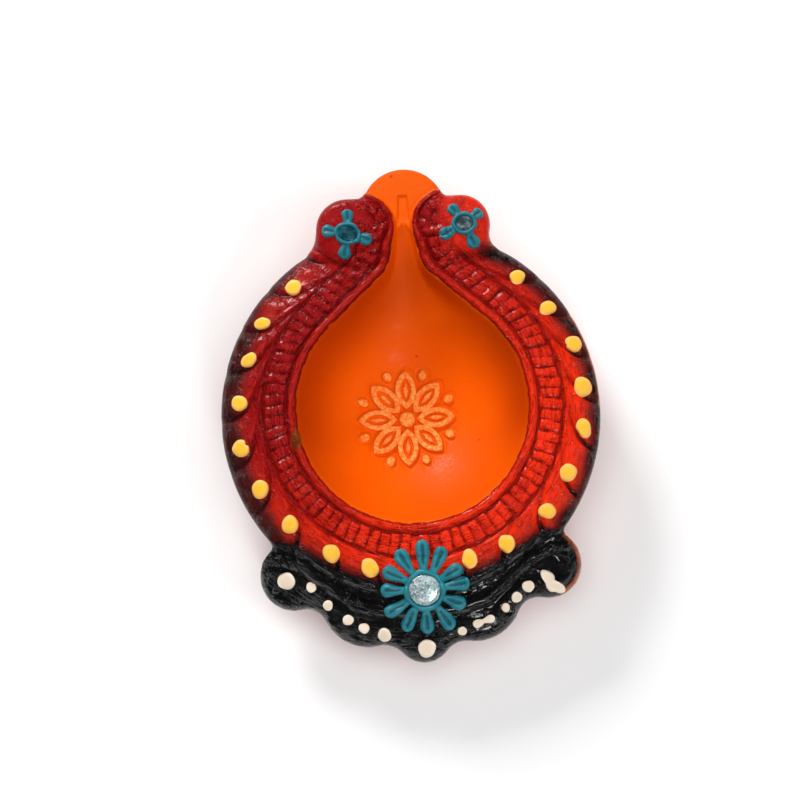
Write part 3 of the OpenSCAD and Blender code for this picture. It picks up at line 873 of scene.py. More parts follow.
def bezel_mesh(name, mid, half_w, half_h, turn, width, rise, seed=0.0):
    """A squeezed ring round a stone: an oval path with a rounded, uneven section."""
    around, sides = 96, 16
    phi = np.linspace(0, 2 * math.pi, around, endpoint=False)[:, None]
    psi = np.linspace(0, 2 * math.pi, sides, endpoint=False)[None, :]
    band = width * (1 + 0.10 * np.sin(4 * phi + seed) + 0.06 * np.sin(7 * phi + 2 * seed)) / 2
    off = band + band * np.cos(psi)
    off = off - 0.12
    local_x = (half_w + off) * np.cos(phi)
    local_y = (half_h + off) * np.sin(phi)
    a = math.radians(turn)
    x = mid[0] + local_x * math.cos(a) - local_y * math.sin(a)
    y = mid[1] + local_x * math.sin(a) + local_y * math.cos(a)
    clay = top_height(x, y)
    level = clay.mean(axis=1, keepdims=True) * 0.7 + clay * 0.3
    high = rise * (1 + 0.07 * np.sin(5 * phi + seed))
    z = np.where(np.sin(psi) > 0, level + high * np.abs(np.sin(psi)) ** 0.8, clay - 0.3)
    z = np.where(np.abs(np.sin(psi)) < 1e-9, clay - 0.02 + 0.25 * (np.cos(psi) < 0), z)
    points = np.stack([x, y, z], axis=-1)
    points = np.concatenate([points, points[:1]])
    quads = grid_quads(len(points), sides)
    return make_object(name, points.reshape(-1, 3), quads, {"groove": np.zeros(points.shape[:2])})


def stone_mesh(name, mid, half_w, half_h, turn, base, rise, crown, tilt=(0.0, 0.0), seed=0.0):
    """A low stone: a short upright girdle, a bevelled shoulder and a gently domed face."""
    sectors, rings = 72, 14
    phi = np.linspace(0, 2 * math.pi, sectors, endpoint=False)[None, :]
    t = np.linspace(0, 1, rings)[:, None]
    uneven = 1 + 0.012 * np.sin(3 * phi + seed) + 0.008 * np.sin(8 * phi + seed)
    lx = half_w * t * np.cos(phi) * uneven
    ly = half_h * t * np.sin(phi) * uneven
    a = math.radians(turn)
    dx = lx * math.cos(a) - ly * math.sin(a)
    dy = lx * math.sin(a) + ly * math.cos(a)
    ring_x = mid[0] + dx
    ring_y = mid[1] + dy
    clay = top_height(ring_x, ring_y)
    plane = fitted_plane(ring_x, ring_y, clay) + tilt[0] * dx + tilt[1] * dy
    face = plane + base + rise + crown * (1 - t ** 2) - 0.25 * ease(0.86, 1.0, t)
    top = np.stack([ring_x, ring_y, face], axis=-1)
    girdle = top[-1:] - [0, 0, rise * 0.9]
    middle = np.repeat(girdle.mean(axis=1, keepdims=True), sectors, axis=1)
    points = np.concatenate([top, girdle, middle])
    fields = {"spread": np.concatenate([np.repeat(t, sectors, axis=1), np.ones((2, sectors))])}
    return make_object(name, points.reshape(-1, 3), grid_quads(len(points), sectors), fields)


# Placing of the drops, as seen from above: x, y, width, height, turn, nick (angle, depth, spread)
YELLOW_SHAPES = (
    (26.7, 29.9, 3.6, 3.4, 0, None), (33.4, 22.2, 3.9, 3.4, 20, (300, 0.08, 20)),
    (38.9, 13.5, 3.9, 3.9, 0, (188, 0.16, 14)), (40.5, 3.3, 4.3, 4.6, 0, None),
    (40.1, -6.4, 3.7, 4.6, 15, (215, 0.2, 35)), (36.0, -16.5, 4.0, 4.2, 0, None),
    (30.6, -25.2, 4.1, 3.7, 0, (240, 0.1, 25)), (20.9, -32.2, 3.8, 4.3, 0, None),
    (12.1, -35.3, 3.6, 4.5, 0, None),
    (-25.9, 30.4, 4.0, 3.7, 0, (150, 0.08, 30)), (-33.6, 22.3, 3.9, 2.9, 0, None),
    (-37.1, 13.8, 4.2, 3.0, 40, None), (-39.8, 3.8, 3.9, 3.7, 20, None),
    (-39.9, -6.8, 4.3, 4.0, 0, (35, 0.3, 16)), (-35.8, -16.6, 4.1, 4.3, 0, None),
    (-29.2, -25.2, 3.9, 4.4, 0, None), (-19.9, -32.4, 3.9, 4.5, 10, None),
    (-11.1, -36.2, 4.0, 4.6, 15, None),
)
WHITE_SPOTS = (
    ((-31.1, -38.1, 2.05),), ((-25.3, -39.9, 1.2),), ((-21.6, -44.3, 1.2),), ((-17.1, -47.9, 1.25),),
    ((-13.5, -50.0, 1.25),), ((-8.8, -51.8, 1.6),), ((0.9, -55.4, 2.1),), ((9.4, -51.8, 1.05),),
    ((12.9, -50.3, 1.1), (13.9, -50.0, 0.7), (14.9, -49.6, 0.65), (16.2, -49.2, 1.05)),
    ((19.8, -46.9, 1.05),), ((22.5, -44.6, 1.25),), ((25.3, -42.2, 1.4),),
    ((29.0, -39.4, 0.9), (30.2, -40.5, 1.4), (30.9, -42.3, 1.5), (32.8, -43.1, 1.15)),
)
FRONT_MID = (1.3, -42.0)
FRONT_STONE_R = 3.65
FRONT_RING = 1.35
FRONT_PETALS = (
    (90, 11.75), (62, 11.0), (31, 10.3), (7.5, 10.6), (-24, 10.1), (-56, 11.0),
    (-90, 10.1), (-121.6, 10.6), (-150.6, 10.9), (177, 10.3), (150, 10.8), (122.5, 11.3),
)
LEFT_FLOWER = ((-12.4, 42.0), 2.4, 1.85, -20, ((87, 5.8), (169, 6.2), (-102, 6.0), (-20, 6.0)))
RIGHT_FLOWER = ((15.0, 42.9), 2.1, 1.85, 0, ((124, 5.5), (34, 5.1), (-67, 6.4), (-154, 6.6)))


# Materials ------------------------------------------------------------------------------------

class Nodes:
    """Short ways to add shader nodes to a material and join them."""

    def __init__(self, name):
        self.material = bpy.data.materials.new(name)
        self.material.use_nodes = True
        self.tree = self.material.node_tree
        self.tree.nodes.clear()
        self.out = self.add("ShaderNodeOutputMaterial")
        self.shader = self.add("ShaderNodeBsdfPrincipled")
        self.join(self.shader.outputs[0], self.out.inputs["Surface"])

    def add(self, kind, **settings):
        node = self.tree.nodes.new(kind)
        for key, value in settings.items():
            setattr(node, key, value)
        return node

    def join(self, source, target):
        self.tree.links.new(source, target)

    def put(self, value, socket):
        """Sets a number or colour on a socket, or joins an output to it."""
        if isinstance(value, bpy.types.NodeSocket):
            self.join(value, socket)
        else:
            socket.default_value = value

    def coords(self):
        return self.add("ShaderNodeTexCoord").outputs["Object"]

    def field(self, name, vector=False):
        node = self.add("ShaderNodeAttribute", attribute_name=name)
        return node.outputs["Vector" if vector else "Fac"]

    def scaled(self, vector, scale):
        node = self.add("ShaderNodeMapping")
        self.join(vector, node.inputs["Vector"])
        node.inputs["Scale"].default_value = scale
        return node.outputs[0]

    def noise(self, vector, scale, detail=4.0, rough=0.55, distort=0.0):
        node = self.add("ShaderNodeTexNoise")
        self.join(vector, node.inputs["Vector"])
        node.inputs["Scale"].default_value = scale
        node.inputs["Detail"].default_value = detail
        node.inputs["Roughness"].default_value = rough
        node.inputs["Distortion"].default_value = distort
        return node.outputs["Fac"]

    def cells(self, vector, scale, feature="F1", output="Distance"):
        node = self.add("ShaderNodeTexVoronoi", feature=feature)
        self.join(vector, node.inputs["Vector"])
        node.inputs["Scale"].default_value = scale
        return node.outputs[output]

    def maths(self, operation, a, b=0.0, c=0.0, clamp=False):
        node = self.add("ShaderNodeMath", operation=operation, use_clamp=clamp)
        for value, socket in zip((a, b, c), node.inputs):
            self.put(value, socket)
        return node.outputs[0]

    def between(self, value, low, high, out_low=0.0, out_high=1.0, smooth=True):
        node = self.add("ShaderNodeMapRange", interpolation_type="SMOOTHSTEP" if smooth else "LINEAR")
        self.put(value, node.inputs["Value"])
        node.inputs["From Min"].default_value = low
        node.inputs["From Max"].default_value = high
        node.inputs["To Min"].default_value = out_low
        node.inputs["To Max"].default_value = out_high
        return node.outputs[0]

    def mix(self, share, a, b, blend="MIX"):
        node = self.add("ShaderNodeMix", data_type="RGBA", blend_type=blend, clamp_factor=True)
        self.put(share, node.inputs[0])
        for value, socket in ((a, node.inputs[6]), (b, node.inputs[7])):
            self.put((*value, 1.0) if isinstance(value, tuple) and len(value) == 3 else value, socket)
        return node.outputs[2]

    def bump(self, height, strength, distance, under=None):
        node = self.add("ShaderNodeBump")
        node.inputs["Strength"].default_value = strength
        node.inputs["Distance"].default_value = distance
        self.join(height, node.inputs["Height"])
        if under is not None:
            self.join(under, node.inputs["Normal"])
        return node.outputs[0]

    def split(self, vector):
        node = self.add("ShaderNodeSeparateXYZ")
        self.join(vector, node.inputs[0])
        return node.outputs

    def finish(self, colour, rough, normal=None):
        self.put(colour, self.shader.inputs["Base Color"])
        self.put(rough, self.shader.inputs["Roughness"])
        if normal is not None:
            self.join(normal, self.shader.inputs["Normal"])
        return self.material


def linear(colour):
    """Linear colour from screen colour values between 0 and 255."""
    v = np.array(colour, float) / 255
    return tuple(float(c) for c in np.where(v <= 0.04045, v / 12.92, ((v + 0.055) / 1.055) ** 2.4))


ORANGE = linear((236, 92, 0))
ORANGE_DEEP = linear((205, 70, 0))
RED = linear((196, 25, 10))
RED_DEEP = linear((142, 8, 12))
RED_BRIGHT = linear((234, 42, 8))
BLACK = linear((5, 4, 5))
TERRACOTTA = linear((176, 92, 58))
TEAL = linear((25, 119, 132))
TEAL_DEEP = linear((8, 72, 86))
YELLOW = linear((250, 190, 46))
YELLOW_PALE = linear((250, 190, 98))
CREAM = linear((246, 232, 212))


def painted_clay():
    """Brushed paint over clay: orange inside, red rim with soft black in the hollows and along
    the edge, glossy black skirt, orange underside and a bare foot."""
    m = Nodes("brushed_paint")
    place = m.coords()
    flow = m.field("flow", vector=True)
    lip, edge, relief = m.field("lip"), m.field("edge"), m.field("relief")
    under, skirt_edge = m.field("under"), m.field("skirt")
    axes = m.split(place)
    x_mm = m.maths("MULTIPLY", axes[0], 1000.0)
    y_mm = m.maths("MULTIPLY", axes[1], 1000.0)
    fine = m.noise(place, 900.0, 6.0, 0.6)
    cloud = m.noise(place, 110.0, 5.0, 0.6)
    broad = m.noise(place, 28.0, 3.0, 0.5)
    strokes = m.noise(m.scaled(flow, (0.12, 1.1, 0.3)), 1.4, 5.0, 0.6, 0.2)

    # Red: crimson on the left, warmer on the right and in front as a painted light ramp; painted highlight on the
    # crests, painted shade with pooled paint in the hollows
    # Painted light: the red brightens towards the right and the front
    painted_light_ramp = m.maths("ADD", m.maths("MULTIPLY", x_mm, 0.013), m.maths("MULTIPLY", y_mm, -0.015))
    painted_light_ramp = m.maths("ADD", painted_light_ramp, m.maths("MULTIPLY", m.maths("SUBTRACT", broad, 0.5), 0.8))
    red = m.mix(m.between(painted_light_ramp, -0.55, 0.6), RED_DEEP, RED_BRIGHT)
    red = m.mix(m.between(strokes, 0.52, 0.75, 0.0, 0.4), red, RED)
    # Painted highlight on the raised crests, and painted shade with pooled dark paint in the hollows
    red = m.mix(m.between(relief, 0.35, 1.0, 0.0, 0.20), red, linear((226, 56, 20)))
    red = m.mix(m.between(relief, 0.05, -0.65, 0.0, 0.72), red, linear((96, 4, 4)))
    blotches = m.noise(place, 75.0, 4.0, 0.6)
    red = m.mix(m.between(blotches, 0.50, 0.66, 0.0, 0.40), red, RED_DEEP)
    right_pad = m.maths("MULTIPLY", m.between(x_mm, 8.0, 12.0), m.between(y_mm, 35.0, 40.0, 0.0, 0.55))
    red = m.mix(right_pad, red, RED_BRIGHT)
    worn = m.between(m.noise(place, 240.0, 4.0, 0.6), 0.70, 0.74, 0.0, 0.6)
    red = m.mix(m.maths("MULTIPLY", worn, m.between(relief, 0.3, 0.8)), red, linear((226, 84, 20)))

    # Black: the skirt, the outer edge and the outer ends of the divisions
    ragged = m.maths("MULTIPLY", m.maths("SUBTRACT", cloud, 0.5), 4.5)
    skirt = m.maths("ADD", skirt_edge, m.maths("MULTIPLY", ragged, 0.45))
    upper_right = m.maths("MULTIPLY", m.between(x_mm, 4.0, 22.0), m.between(y_mm, 0.0, 22.0))
    reach = m.maths("ADD", 1.7, m.maths("MULTIPLY", upper_right, 1.3))
    reach = m.maths("ADD", reach, m.between(x_mm, -10.0, -30.0, 0.0, 1.9))
    reach = m.maths("SUBTRACT", reach, m.maths("MULTIPLY", m.between(x_mm, -8.0, -20.0), m.between(y_mm, 18.0, 27.0, 0.0, 2.6)))
    hollow = m.maths("MULTIPLY", m.between(relief, -0.05, -0.8), m.between(lip, 9.0, 13.0))
    reach = m.maths("ADD", reach, m.maths("MULTIPLY", hollow, 2.2))
    soot = m.maths("SUBTRACT", m.maths("ADD", reach, ragged), edge)
    notch = m.maths("MULTIPLY", m.between(relief, -0.05, -0.6), m.between(skirt_edge, -4.5, -2.0))
    skirt = m.maths("ADD", skirt, m.maths("MULTIPLY", notch, 1.2))
    off_pads = m.between(y_mm, 39.5, 35.5)
    brown_share = m.maths("MAXIMUM", m.maths("MULTIPLY", m.between(soot, -2.8, 0.8), off_pads), m.between(skirt, -3.8, 0.8))
    black_share = m.maths("MAXIMUM", m.maths("MULTIPLY", m.between(soot, -0.9, 1.6), off_pads), m.between(skirt, -1.3, 1.0))
    mist = m.maths("MULTIPLY", brown_share, 0.85)
    outer = m.mix(mist, red, linear((58, 16, 18)))
    dust = m.noise(m.scaled(flow, (0.12, 0.8, 0.3)), 3.0, 6.0, 0.7)
    dusty = m.mix(m.between(dust, 0.60, 0.80, 0.0, 0.10), BLACK, linear((96, 92, 92)))
    maroon = m.mix(m.between(skirt, -1.5, 0.5), linear((66, 15, 13)), dusty)
    patches = m.between(m.noise(place, 150.0, 4.0, 0.6), 0.49, 0.60)
    patches = m.maths("MULTIPLY", patches, m.between(x_mm, -36.0, -20.0, 0.45, 0.9))
    maroon = m.mix(patches, maroon, dusty)
    outer = m.mix(black_share, outer, maroon)
    lobe = m.maths("MULTIPLY", m.between(x_mm, 31.0, 35.0), m.between(y_mm, -29.0, -33.0))
    bare_edge = m.between(m.maths("ADD", edge, m.maths("MULTIPLY", ragged, 0.3)), 1.1, 0.3)
    outer = m.mix(m.maths("MULTIPLY", lobe, bare_edge), outer, linear((168, 70, 10)))
    right_side = m.maths("MULTIPLY", m.between(x_mm, 36.0, 39.0), m.maths("MULTIPLY", m.between(y_mm, -3.0, 2.0), m.between(y_mm, 24.0, 19.0)))
    thin_edge = m.between(m.maths("ADD", edge, m.maths("MULTIPLY", ragged, 0.12)), 0.42, 0.16)
    outer = m.mix(m.maths("MULTIPLY", right_side, thin_edge), outer, linear((226, 96, 10)))

    # Orange: bowl, tongue and underside
    orange = m.mix(m.between(broad, 0.36, 0.68, 0.0, 0.35), ORANGE, ORANGE_DEEP)
    # Painted shade on the bowl's walls: darker on the left and far walls, and on the right wall
    walls = m.between(lip, -13.0, -1.5)
    shaded = m.between(m.maths("SUBTRACT", m.maths("MULTIPLY", x_mm, -0.05), m.maths("MULTIPLY", y_mm, -0.035)), -0.6, 1.6)
    shaded = m.maths("MULTIPLY", m.maths("MULTIPLY", walls, shaded), m.between(y_mm, 43.0, 24.0))
    orange = m.mix(m.maths("MULTIPLY", shaded, 0.85), orange, linear((176, 52, 0)))
    right_wall_shade = m.maths("MULTIPLY", walls, m.maths("MULTIPLY", m.between(x_mm, 12.0, 26.0), m.between(y_mm, -16.0, 0.0)))
    orange = m.mix(m.maths("MULTIPLY", right_wall_shade, 0.85), orange, linear((186, 60, 0)))
    on_relief = m.maths("MULTIPLY", m.between(relief, 0.25, 0.75), m.between(lip, -1.0, -4.0))
    grain = m.between(m.noise(place, 1500.0, 3.0, 0.7), 0.40, 0.62)
    orange = m.mix(m.maths("MULTIPLY", on_relief, m.between(grain, 0.0, 1.0, 0.2, 0.75)), orange, linear((255, 178, 92)))
    specks = m.between(m.cells(place, 190.0), 0.05, 0.085, 1.0, 0.0)
    specks = m.maths("MULTIPLY", specks, m.between(m.noise(place, 60.0, 2.0), 0.56, 0.6))
    orange = m.mix(m.maths("MULTIPLY", specks, 0.6), orange, linear((110, 52, 18)))

    line = m.maths("ADD", lip, m.maths("MULTIPLY", m.maths("SUBTRACT", m.noise(place, 420.0, 4.0), 0.5), 1.1))
    # Painted shadow under the bead's inner side along the lip, with paint pooled where the red ends
    lip_shadow_and_pooling = m.maths("MULTIPLY", m.between(line, -0.05, 0.15), m.between(line, 0.75, 0.35))
    outer = m.mix(m.maths("MULTIPLY", lip_shadow_and_pooling, m.between(y_mm, 44.0, 40.0, 0.3, 0.7)), outer, linear((104, 8, 4)))
    colour = m.mix(m.between(line, 0.02, 0.20), orange, outer)
    stain = m.add("ShaderNodeVectorMath", operation="DISTANCE")
    m.join(m.scaled(place, (1.0, 0.55, 0.0)), stain.inputs[0])
    stain.inputs[1].default_value = (-0.0268, -0.0030, 0.0)
    stained = m.between(m.maths("ADD", stain.outputs["Value"], m.maths("MULTIPLY", m.maths("SUBTRACT", cloud, 0.5), 0.0012)), 0.0016, 0.0009)
    colour = m.mix(m.maths("MULTIPLY", stained, 0.7), colour, linear((112, 62, 16)))
    tongue = m.maths("MULTIPLY", m.between(y_mm, 51.0, 51.7), m.between(m.maths("ABSOLUTE", m.maths("SUBTRACT", x_mm, 0.8)), 9.7, 8.9))
    colour = m.mix(tongue, colour, orange)
    low_side = m.between(m.maths("ADD", under, m.maths("MULTIPLY", m.maths("SUBTRACT", cloud, 0.5), 0.9)), 0.30, 0.55)
    colour = m.mix(low_side, colour, orange)
    bare = m.between(under, 1.4, 1.8)
    colour = m.mix(bare, colour, m.mix(cloud, TERRACOTTA, linear((150, 74, 44))))

    painted = m.between(line, 0.02, 0.35)
    rough = m.between(strokes, 0.3, 0.7, 0.26, 0.38)
    rough = m.maths("ADD", rough, m.maths("MULTIPLY", m.maths("MULTIPLY", painted, black_share), -0.15))
    rough = m.maths("ADD", rough, m.maths("MULTIPLY", m.maths("SUBTRACT", 1.0, painted), 0.14))
    rough = m.maths("ADD", rough, m.maths("MULTIPLY", bare, 0.4))
    rough = m.maths("ADD", rough, m.between(fine, 0.3, 0.7, -0.05, 0.07))
    brushed = m.noise(m.scaled(flow, (0.25, 1.5, 0.5)), 1.7, 4.0, 0.6, 0.3)
    blobs = m.noise(place, 560.0, 3.0, 0.55)
    ridges = m.maths("ADD", m.between(brushed, 0.52, 0.68), m.between(blobs, 0.52, 0.70))
    calm = m.between(m.maths("MULTIPLY", m.between(y_mm, 35.0, 38.0), m.between(lip, 6.5, 9.0)), 0.0, 1.0, 0.5, 0.12)
    skin = m.maths("ADD", m.maths("MULTIPLY", ridges, calm), m.maths("MULTIPLY", fine, 0.12))
    coat = m.between(line, 0.0, 0.5, 0.06, 1.0)
    normal = m.bump(m.maths("MULTIPLY", skin, coat), 1.0, 0.00055)
    grit = m.maths("MULTIPLY", m.noise(place, 1700.0, 3.0, 0.6), m.maths("ADD", 0.12, on_relief))
    normal = m.bump(grit, 0.5, 0.00022, normal)
    shine = m.maths("ADD", m.between(skirt, -0.5, 1.0, 0.17, 0.80), m.maths("MULTIPLY", off_pads, 0.05))
    shine = m.maths("ADD", 0.03, m.maths("MULTIPLY", painted, shine))
    m.join(shine, m.shader.inputs["Coat Weight"])
    m.join(normal, m.shader.inputs["Coat Normal"])
    m.shader.inputs["Coat Roughness"].default_value = 0.12
    m.shader.inputs["Specular IOR Level"].default_value = 0.1
    return m.finish(colour, rough, normal)


def drop_paint(name, pale, deep, grain_scale):
    """Raised paint drops: deeper in the middle, paler at the edge, with a little grit."""
    m = Nodes(name)
    place = m.coords()
    spread = m.field("spread")
    cloud = m.noise(place, 420.0, 4.0)
    shade = m.maths("ADD", spread, m.maths("MULTIPLY", m.maths("SUBTRACT", cloud, 0.5), 0.8))
    colour = m.mix(m.between(shade, 0.45, 0.95), deep, pale)
    grit = m.noise(place, grain_scale, 4.0, 0.6)
    colour = m.mix(m.between(grit, 0.62, 0.75, 0.0, 0.25), colour, tuple(0.55 * c for c in deep))
    normal = m.bump(grit, 0.35, 0.00012)
    return m.finish(colour, m.between(cloud, 0.3, 0.7, 0.38, 0.5), normal)


def squeezed_teal():
    """Thick teal paint with painted shade in its pressed grooves and a satin skin."""
    m = Nodes("squeezed_teal")
    place = m.coords()
    groove = m.field("groove")
    cloud = m.noise(place, 380.0, 4.0)
    colour = m.mix(m.between(cloud, 0.35, 0.7), TEAL, linear((32, 130, 143)))
    colour = m.mix(m.between(m.split(place)[1], 0.030, 0.036, 0.0, 0.35), colour, TEAL_DEEP)
    # Painted shade in the pressed grooves
    colour = m.mix(m.between(groove, 0.08, 0.45, 0.0, 0.8), colour, TEAL_DEEP)
    ripples = m.noise(place, 1100.0, 4.0, 0.6)
    normal = m.bump(ripples, 0.3, 0.00012)
    return m.finish(colour, m.between(cloud, 0.3, 0.7, 0.34, 0.46), normal)


def glitter_stone():
    """Clear low stone over silver flecks: each fleck has its own tone and tilt."""
    m = Nodes("silver_flecks")
    place = m.coords()
    tone = m.cells(place, 2400.0, output="Color")
    flecks = m.split(tone)
    colour = m.mix(flecks[0], linear((96, 136, 142)), linear((246, 254, 254)))
    colour = m.mix(m.between(m.noise(place, 300.0, 3.0), 0.4, 0.65), colour, linear((168, 202, 206)))
    normal = m.bump(flecks[1], 0.6, 0.00025)
    m.shader.inputs["Metallic"].default_value = 0.35
    m.shader.inputs["Coat Weight"].default_value = 1.0
    m.shader.inputs["Coat Roughness"].default_value = 0.06
    return m.finish(colour, m.between(flecks[2], 0.0, 1.0, 0.15, 0.45, smooth=False), normal)


def mirror_painted_reflection(name, reflection_tint, light):
    """Small mirror chip: its dark tint is a painted reflection, clouded with its silver back, and deeper teal at its
    edge.
    """
    m = Nodes(name)
    place = m.coords()
    spread = m.field("spread")
    cloud = m.noise(place, 700.0, 5.0, 0.6)
    # Painted reflection: a dark tint clouded with a lighter one
    colour = m.mix(m.between(cloud, 0.42, 0.72), reflection_tint, light)
    colour = m.mix(m.between(spread, 0.82, 1.0, 0.0, 0.6), colour, TEAL_DEEP)
    m.shader.inputs["Metallic"].default_value = 0.1
    m.shader.inputs["Coat Weight"].default_value = 1.0
    m.shader.inputs["Coat Roughness"].default_value = 0.05
    return m.finish(colour, m.between(cloud, 0.3, 0.7, 0.12, 0.3), m.bump(cloud, 0.15, 0.0001))


def dried_glue():
    m = Nodes("dried_glue")
    place = m.coords()
    cloud = m.noise(place, 500.0, 3.0)
    colour = m.mix(cloud, linear((190, 186, 172)), linear((218, 214, 202)))
    return m.finish(colour, m.between(cloud, 0.3, 0.7, 0.4, 0.6), m.bump(cloud, 0.2, 0.0001))


def pale_floor():
    m = Nodes("pale_floor")
    cloud = m.noise(m.coords(), 6.0, 2.0)
    colour = m.mix(cloud, (0.90, 0.90, 0.90), (0.93, 0.93, 0.93))
    return m.finish(colour, m.between(cloud, 0.0, 1.0, 0.75, 0.85))


def material(name, maker, *args):
    """A material that is made once and then shared."""
    return bpy.data.materials.get(name) or maker(*args)


# Settings, operators and panel ----------------------------------------------------------------

class LampPaint(PropertyGroup):
    drop_rise: FloatProperty(
        name="Drop height", description="Height of a paint drop against its width",
        default=0.15, min=0.08, max=0.4)
    petal_rise: FloatProperty(
        name="Petal height", description="Height of a squeezed petal above the clay",
        default=0.00105, min=0.0005, max=0.002, unit="LENGTH")
    ring_rise: FloatProperty(
        name="Ring height", description="Height of a squeezed ring above the clay",
        default=0.00125, min=0.0005, max=0.002, unit="LENGTH")


class LampStage(PropertyGroup):
    distance: FloatProperty(
        name="Camera distance", description="From the camera to the lamp",
        default=0.62, min=0.3, max=2.0, unit="LENGTH")
    elevation: FloatProperty(
        name="Camera height", description="Angle of the camera above the table",
        default=math.radians(84.1), min=0.2, max=1.57, subtype="ANGLE")
    azimuth: FloatProperty(
        name="Camera side", description="Angle of the camera round the lamp",
        default=math.radians(24.0), min=-3.2, max=3.2, subtype="ANGLE")
    roll: FloatProperty(
        name="Camera roll", description="Turn of the picture",
        default=math.radians(3.0), min=-3.2, max=3.2, subtype="ANGLE")
    aim: FloatVectorProperty(
        name="Aim", description="Point that the camera looks at",
        default=(-0.0023, 0.0028, 0.018), subtype="TRANSLATION")
    field: FloatProperty(
        name="Field", description="Width of table that the picture takes in",
        default=0.1875, min=0.05, max=1.0, unit="LENGTH")


class LAMP_OT_body(Operator):
    """Build the moulded and painted clay body"""
    bl_idname = "lamp.body"
    bl_label = "Clay body"

    def execute(self, context):
        piece = build_body_mesh()
        settle(piece, material("brushed_paint", painted_clay), ["clay_body"])
        return {"FINISHED"}


class LAMP_OT_yellow_dots(Operator):
    """Set the yellow drops on the rim's leaves"""
    bl_idname = "lamp.yellow_dots"
    bl_label = "Yellow drops"

    def execute(self, context):
        rise = context.scene.lamp_paint.drop_rise
        gold = material("yellow_drop", drop_paint, "yellow_drop", YELLOW_PALE, YELLOW, 1500.0)
        for i, (x, y, wide, high, turn, nick) in enumerate(YELLOW_SHAPES):
            radius = (wide + high) / 4
            stretch = (wide / 2 / radius, high / 2 / radius, turn)
            piece = drop_mesh(f"yellow_drop_{i + 1:02d}", [(x, y, radius)], rise * 2 * radius,
                              stretch, nick, seed=i * 1.3)
            settle(piece, gold, [f"yellow_dot_{i + 1:02d}"])
        return {"FINISHED"}


class LAMP_OT_white_marks(Operator):
    """Set the cream drops along the skirt"""
    bl_idname = "lamp.white_marks"
    bl_label = "Cream drops"

    def execute(self, context):
        rise = context.scene.lamp_paint.drop_rise
        cream = material("cream_drop", drop_paint, "cream_drop", CREAM, linear((240, 219, 196)), 1300.0)
        for i, spots in enumerate(WHITE_SPOTS):
            size = min(max(spot[2] for spot in spots), 1.6)
            piece = drop_mesh(f"cream_drop_{i + 1:02d}", spots, rise * 1.8 * size, seed=2.0 + i * 1.7)
            settle(piece, cream, [f"white_mark_{i + 1:02d}"])
        return {"FINISHED"}


class LAMP_OT_front_flower(Operator):
    """Build the big flower: its petals, ring and glitter stone"""
    bl_idname = "lamp.front_flower"
    bl_label = "Front flower"

    def execute(self, context):
        paint = context.scene.lamp_paint
        teal = material("squeezed_teal", squeezed_teal)
        for i, (turn, reach) in enumerate(FRONT_PETALS):
            piece = petal_mesh(f"flower_petal_{i + 1:02d}", FRONT_MID, turn, 4.6, reach, 1.68, 0.9,
                               paint.petal_rise / MM, bend=0.25 * math.sin(i * 2.1), seed=i)
            settle(piece, teal, [f"front_petal_{i + 1:02d}"])
        ring = bezel_mesh("flower_ring", FRONT_MID, FRONT_STONE_R, FRONT_STONE_R, 0, FRONT_RING,
                          paint.ring_rise / MM, seed=1.0)
        settle(ring, teal, ["front_bezel"])
        stone = stone_mesh("glitter_stone", FRONT_MID, FRONT_STONE_R, FRONT_STONE_R - 0.1, 0, 0.25, 0.8, 0.35)
        settle(stone, material("silver_flecks", glitter_stone), ["front_gem"])
        return {"FINISHED"}


class LAMP_OT_small_flowers(Operator):
    """Build the two small flowers on the pads and their mirror chips, dark with a painted reflection"""
    bl_idname = "lamp.small_flowers"
    bl_label = "Small flowers"

    def execute(self, context):
        paint = context.scene.lamp_paint
        teal = material("squeezed_teal", squeezed_teal)
        glass = {
            "left": material("mirror_painted_reflection_left", mirror_painted_reflection, "mirror_painted_reflection_left", linear((8, 52, 62)), linear((24, 92, 104))),
            "right": material("mirror_painted_reflection_right", mirror_painted_reflection, "mirror_painted_reflection_right", linear((44, 58, 62)), linear((120, 138, 142))),
        }
        for side, flower in (("left", LEFT_FLOWER), ("right", RIGHT_FLOWER)):
            mid, half_w, half_h, turn, petals = flower
            for i, (angle, reach) in enumerate(petals):
                piece = petal_mesh(f"{side}_flower_petal_{i + 1}", mid, angle, half_h + 0.6, reach, 1.55, 1.0,
                                   0.85 * paint.petal_rise / MM, bend=0.2 * math.sin(i * 2.7 + 1), seed=i + 3.0)
                settle(piece, teal, [f"{side}_petal_{i + 1:02d}"])
            ring = bezel_mesh(f"{side}_flower_ring", mid, half_w, half_h, turn, 1.0,
                              0.8 * paint.ring_rise / MM, seed=2.0)
            settle(ring, teal, [f"{side}_bezel"])
            chip = stone_mesh(f"{side}_mirror_chip", mid, half_w, half_h, turn, 0.2, 0.35, 0.12)
            settle(chip, glass[side], [f"{side}_mirror"])
        return {"FINISHED"}


class LAMP_OT_glue(Operator):
    """Lay the thin glue under the three stones"""
    bl_idname = "lamp.glue"
    bl_label = "Glue"

    def execute(self, context):
        glue = material("dried_glue", dried_glue)
        spots = ((FRONT_MID, FRONT_STONE_R - 0.5), (LEFT_FLOWER[0], 1.7), (RIGHT_FLOWER[0], 1.6))
        pads = [drop_mesh(f"glue_{i}", [(mid[0], mid[1], r)], 0.3, seed=i) for i, (mid, r) in enumerate(spots)]
        joined = join_pieces("stone_glue_pads", pads)
        settle(joined, glue, ["stone_glue"])
        return {"FINISHED"}


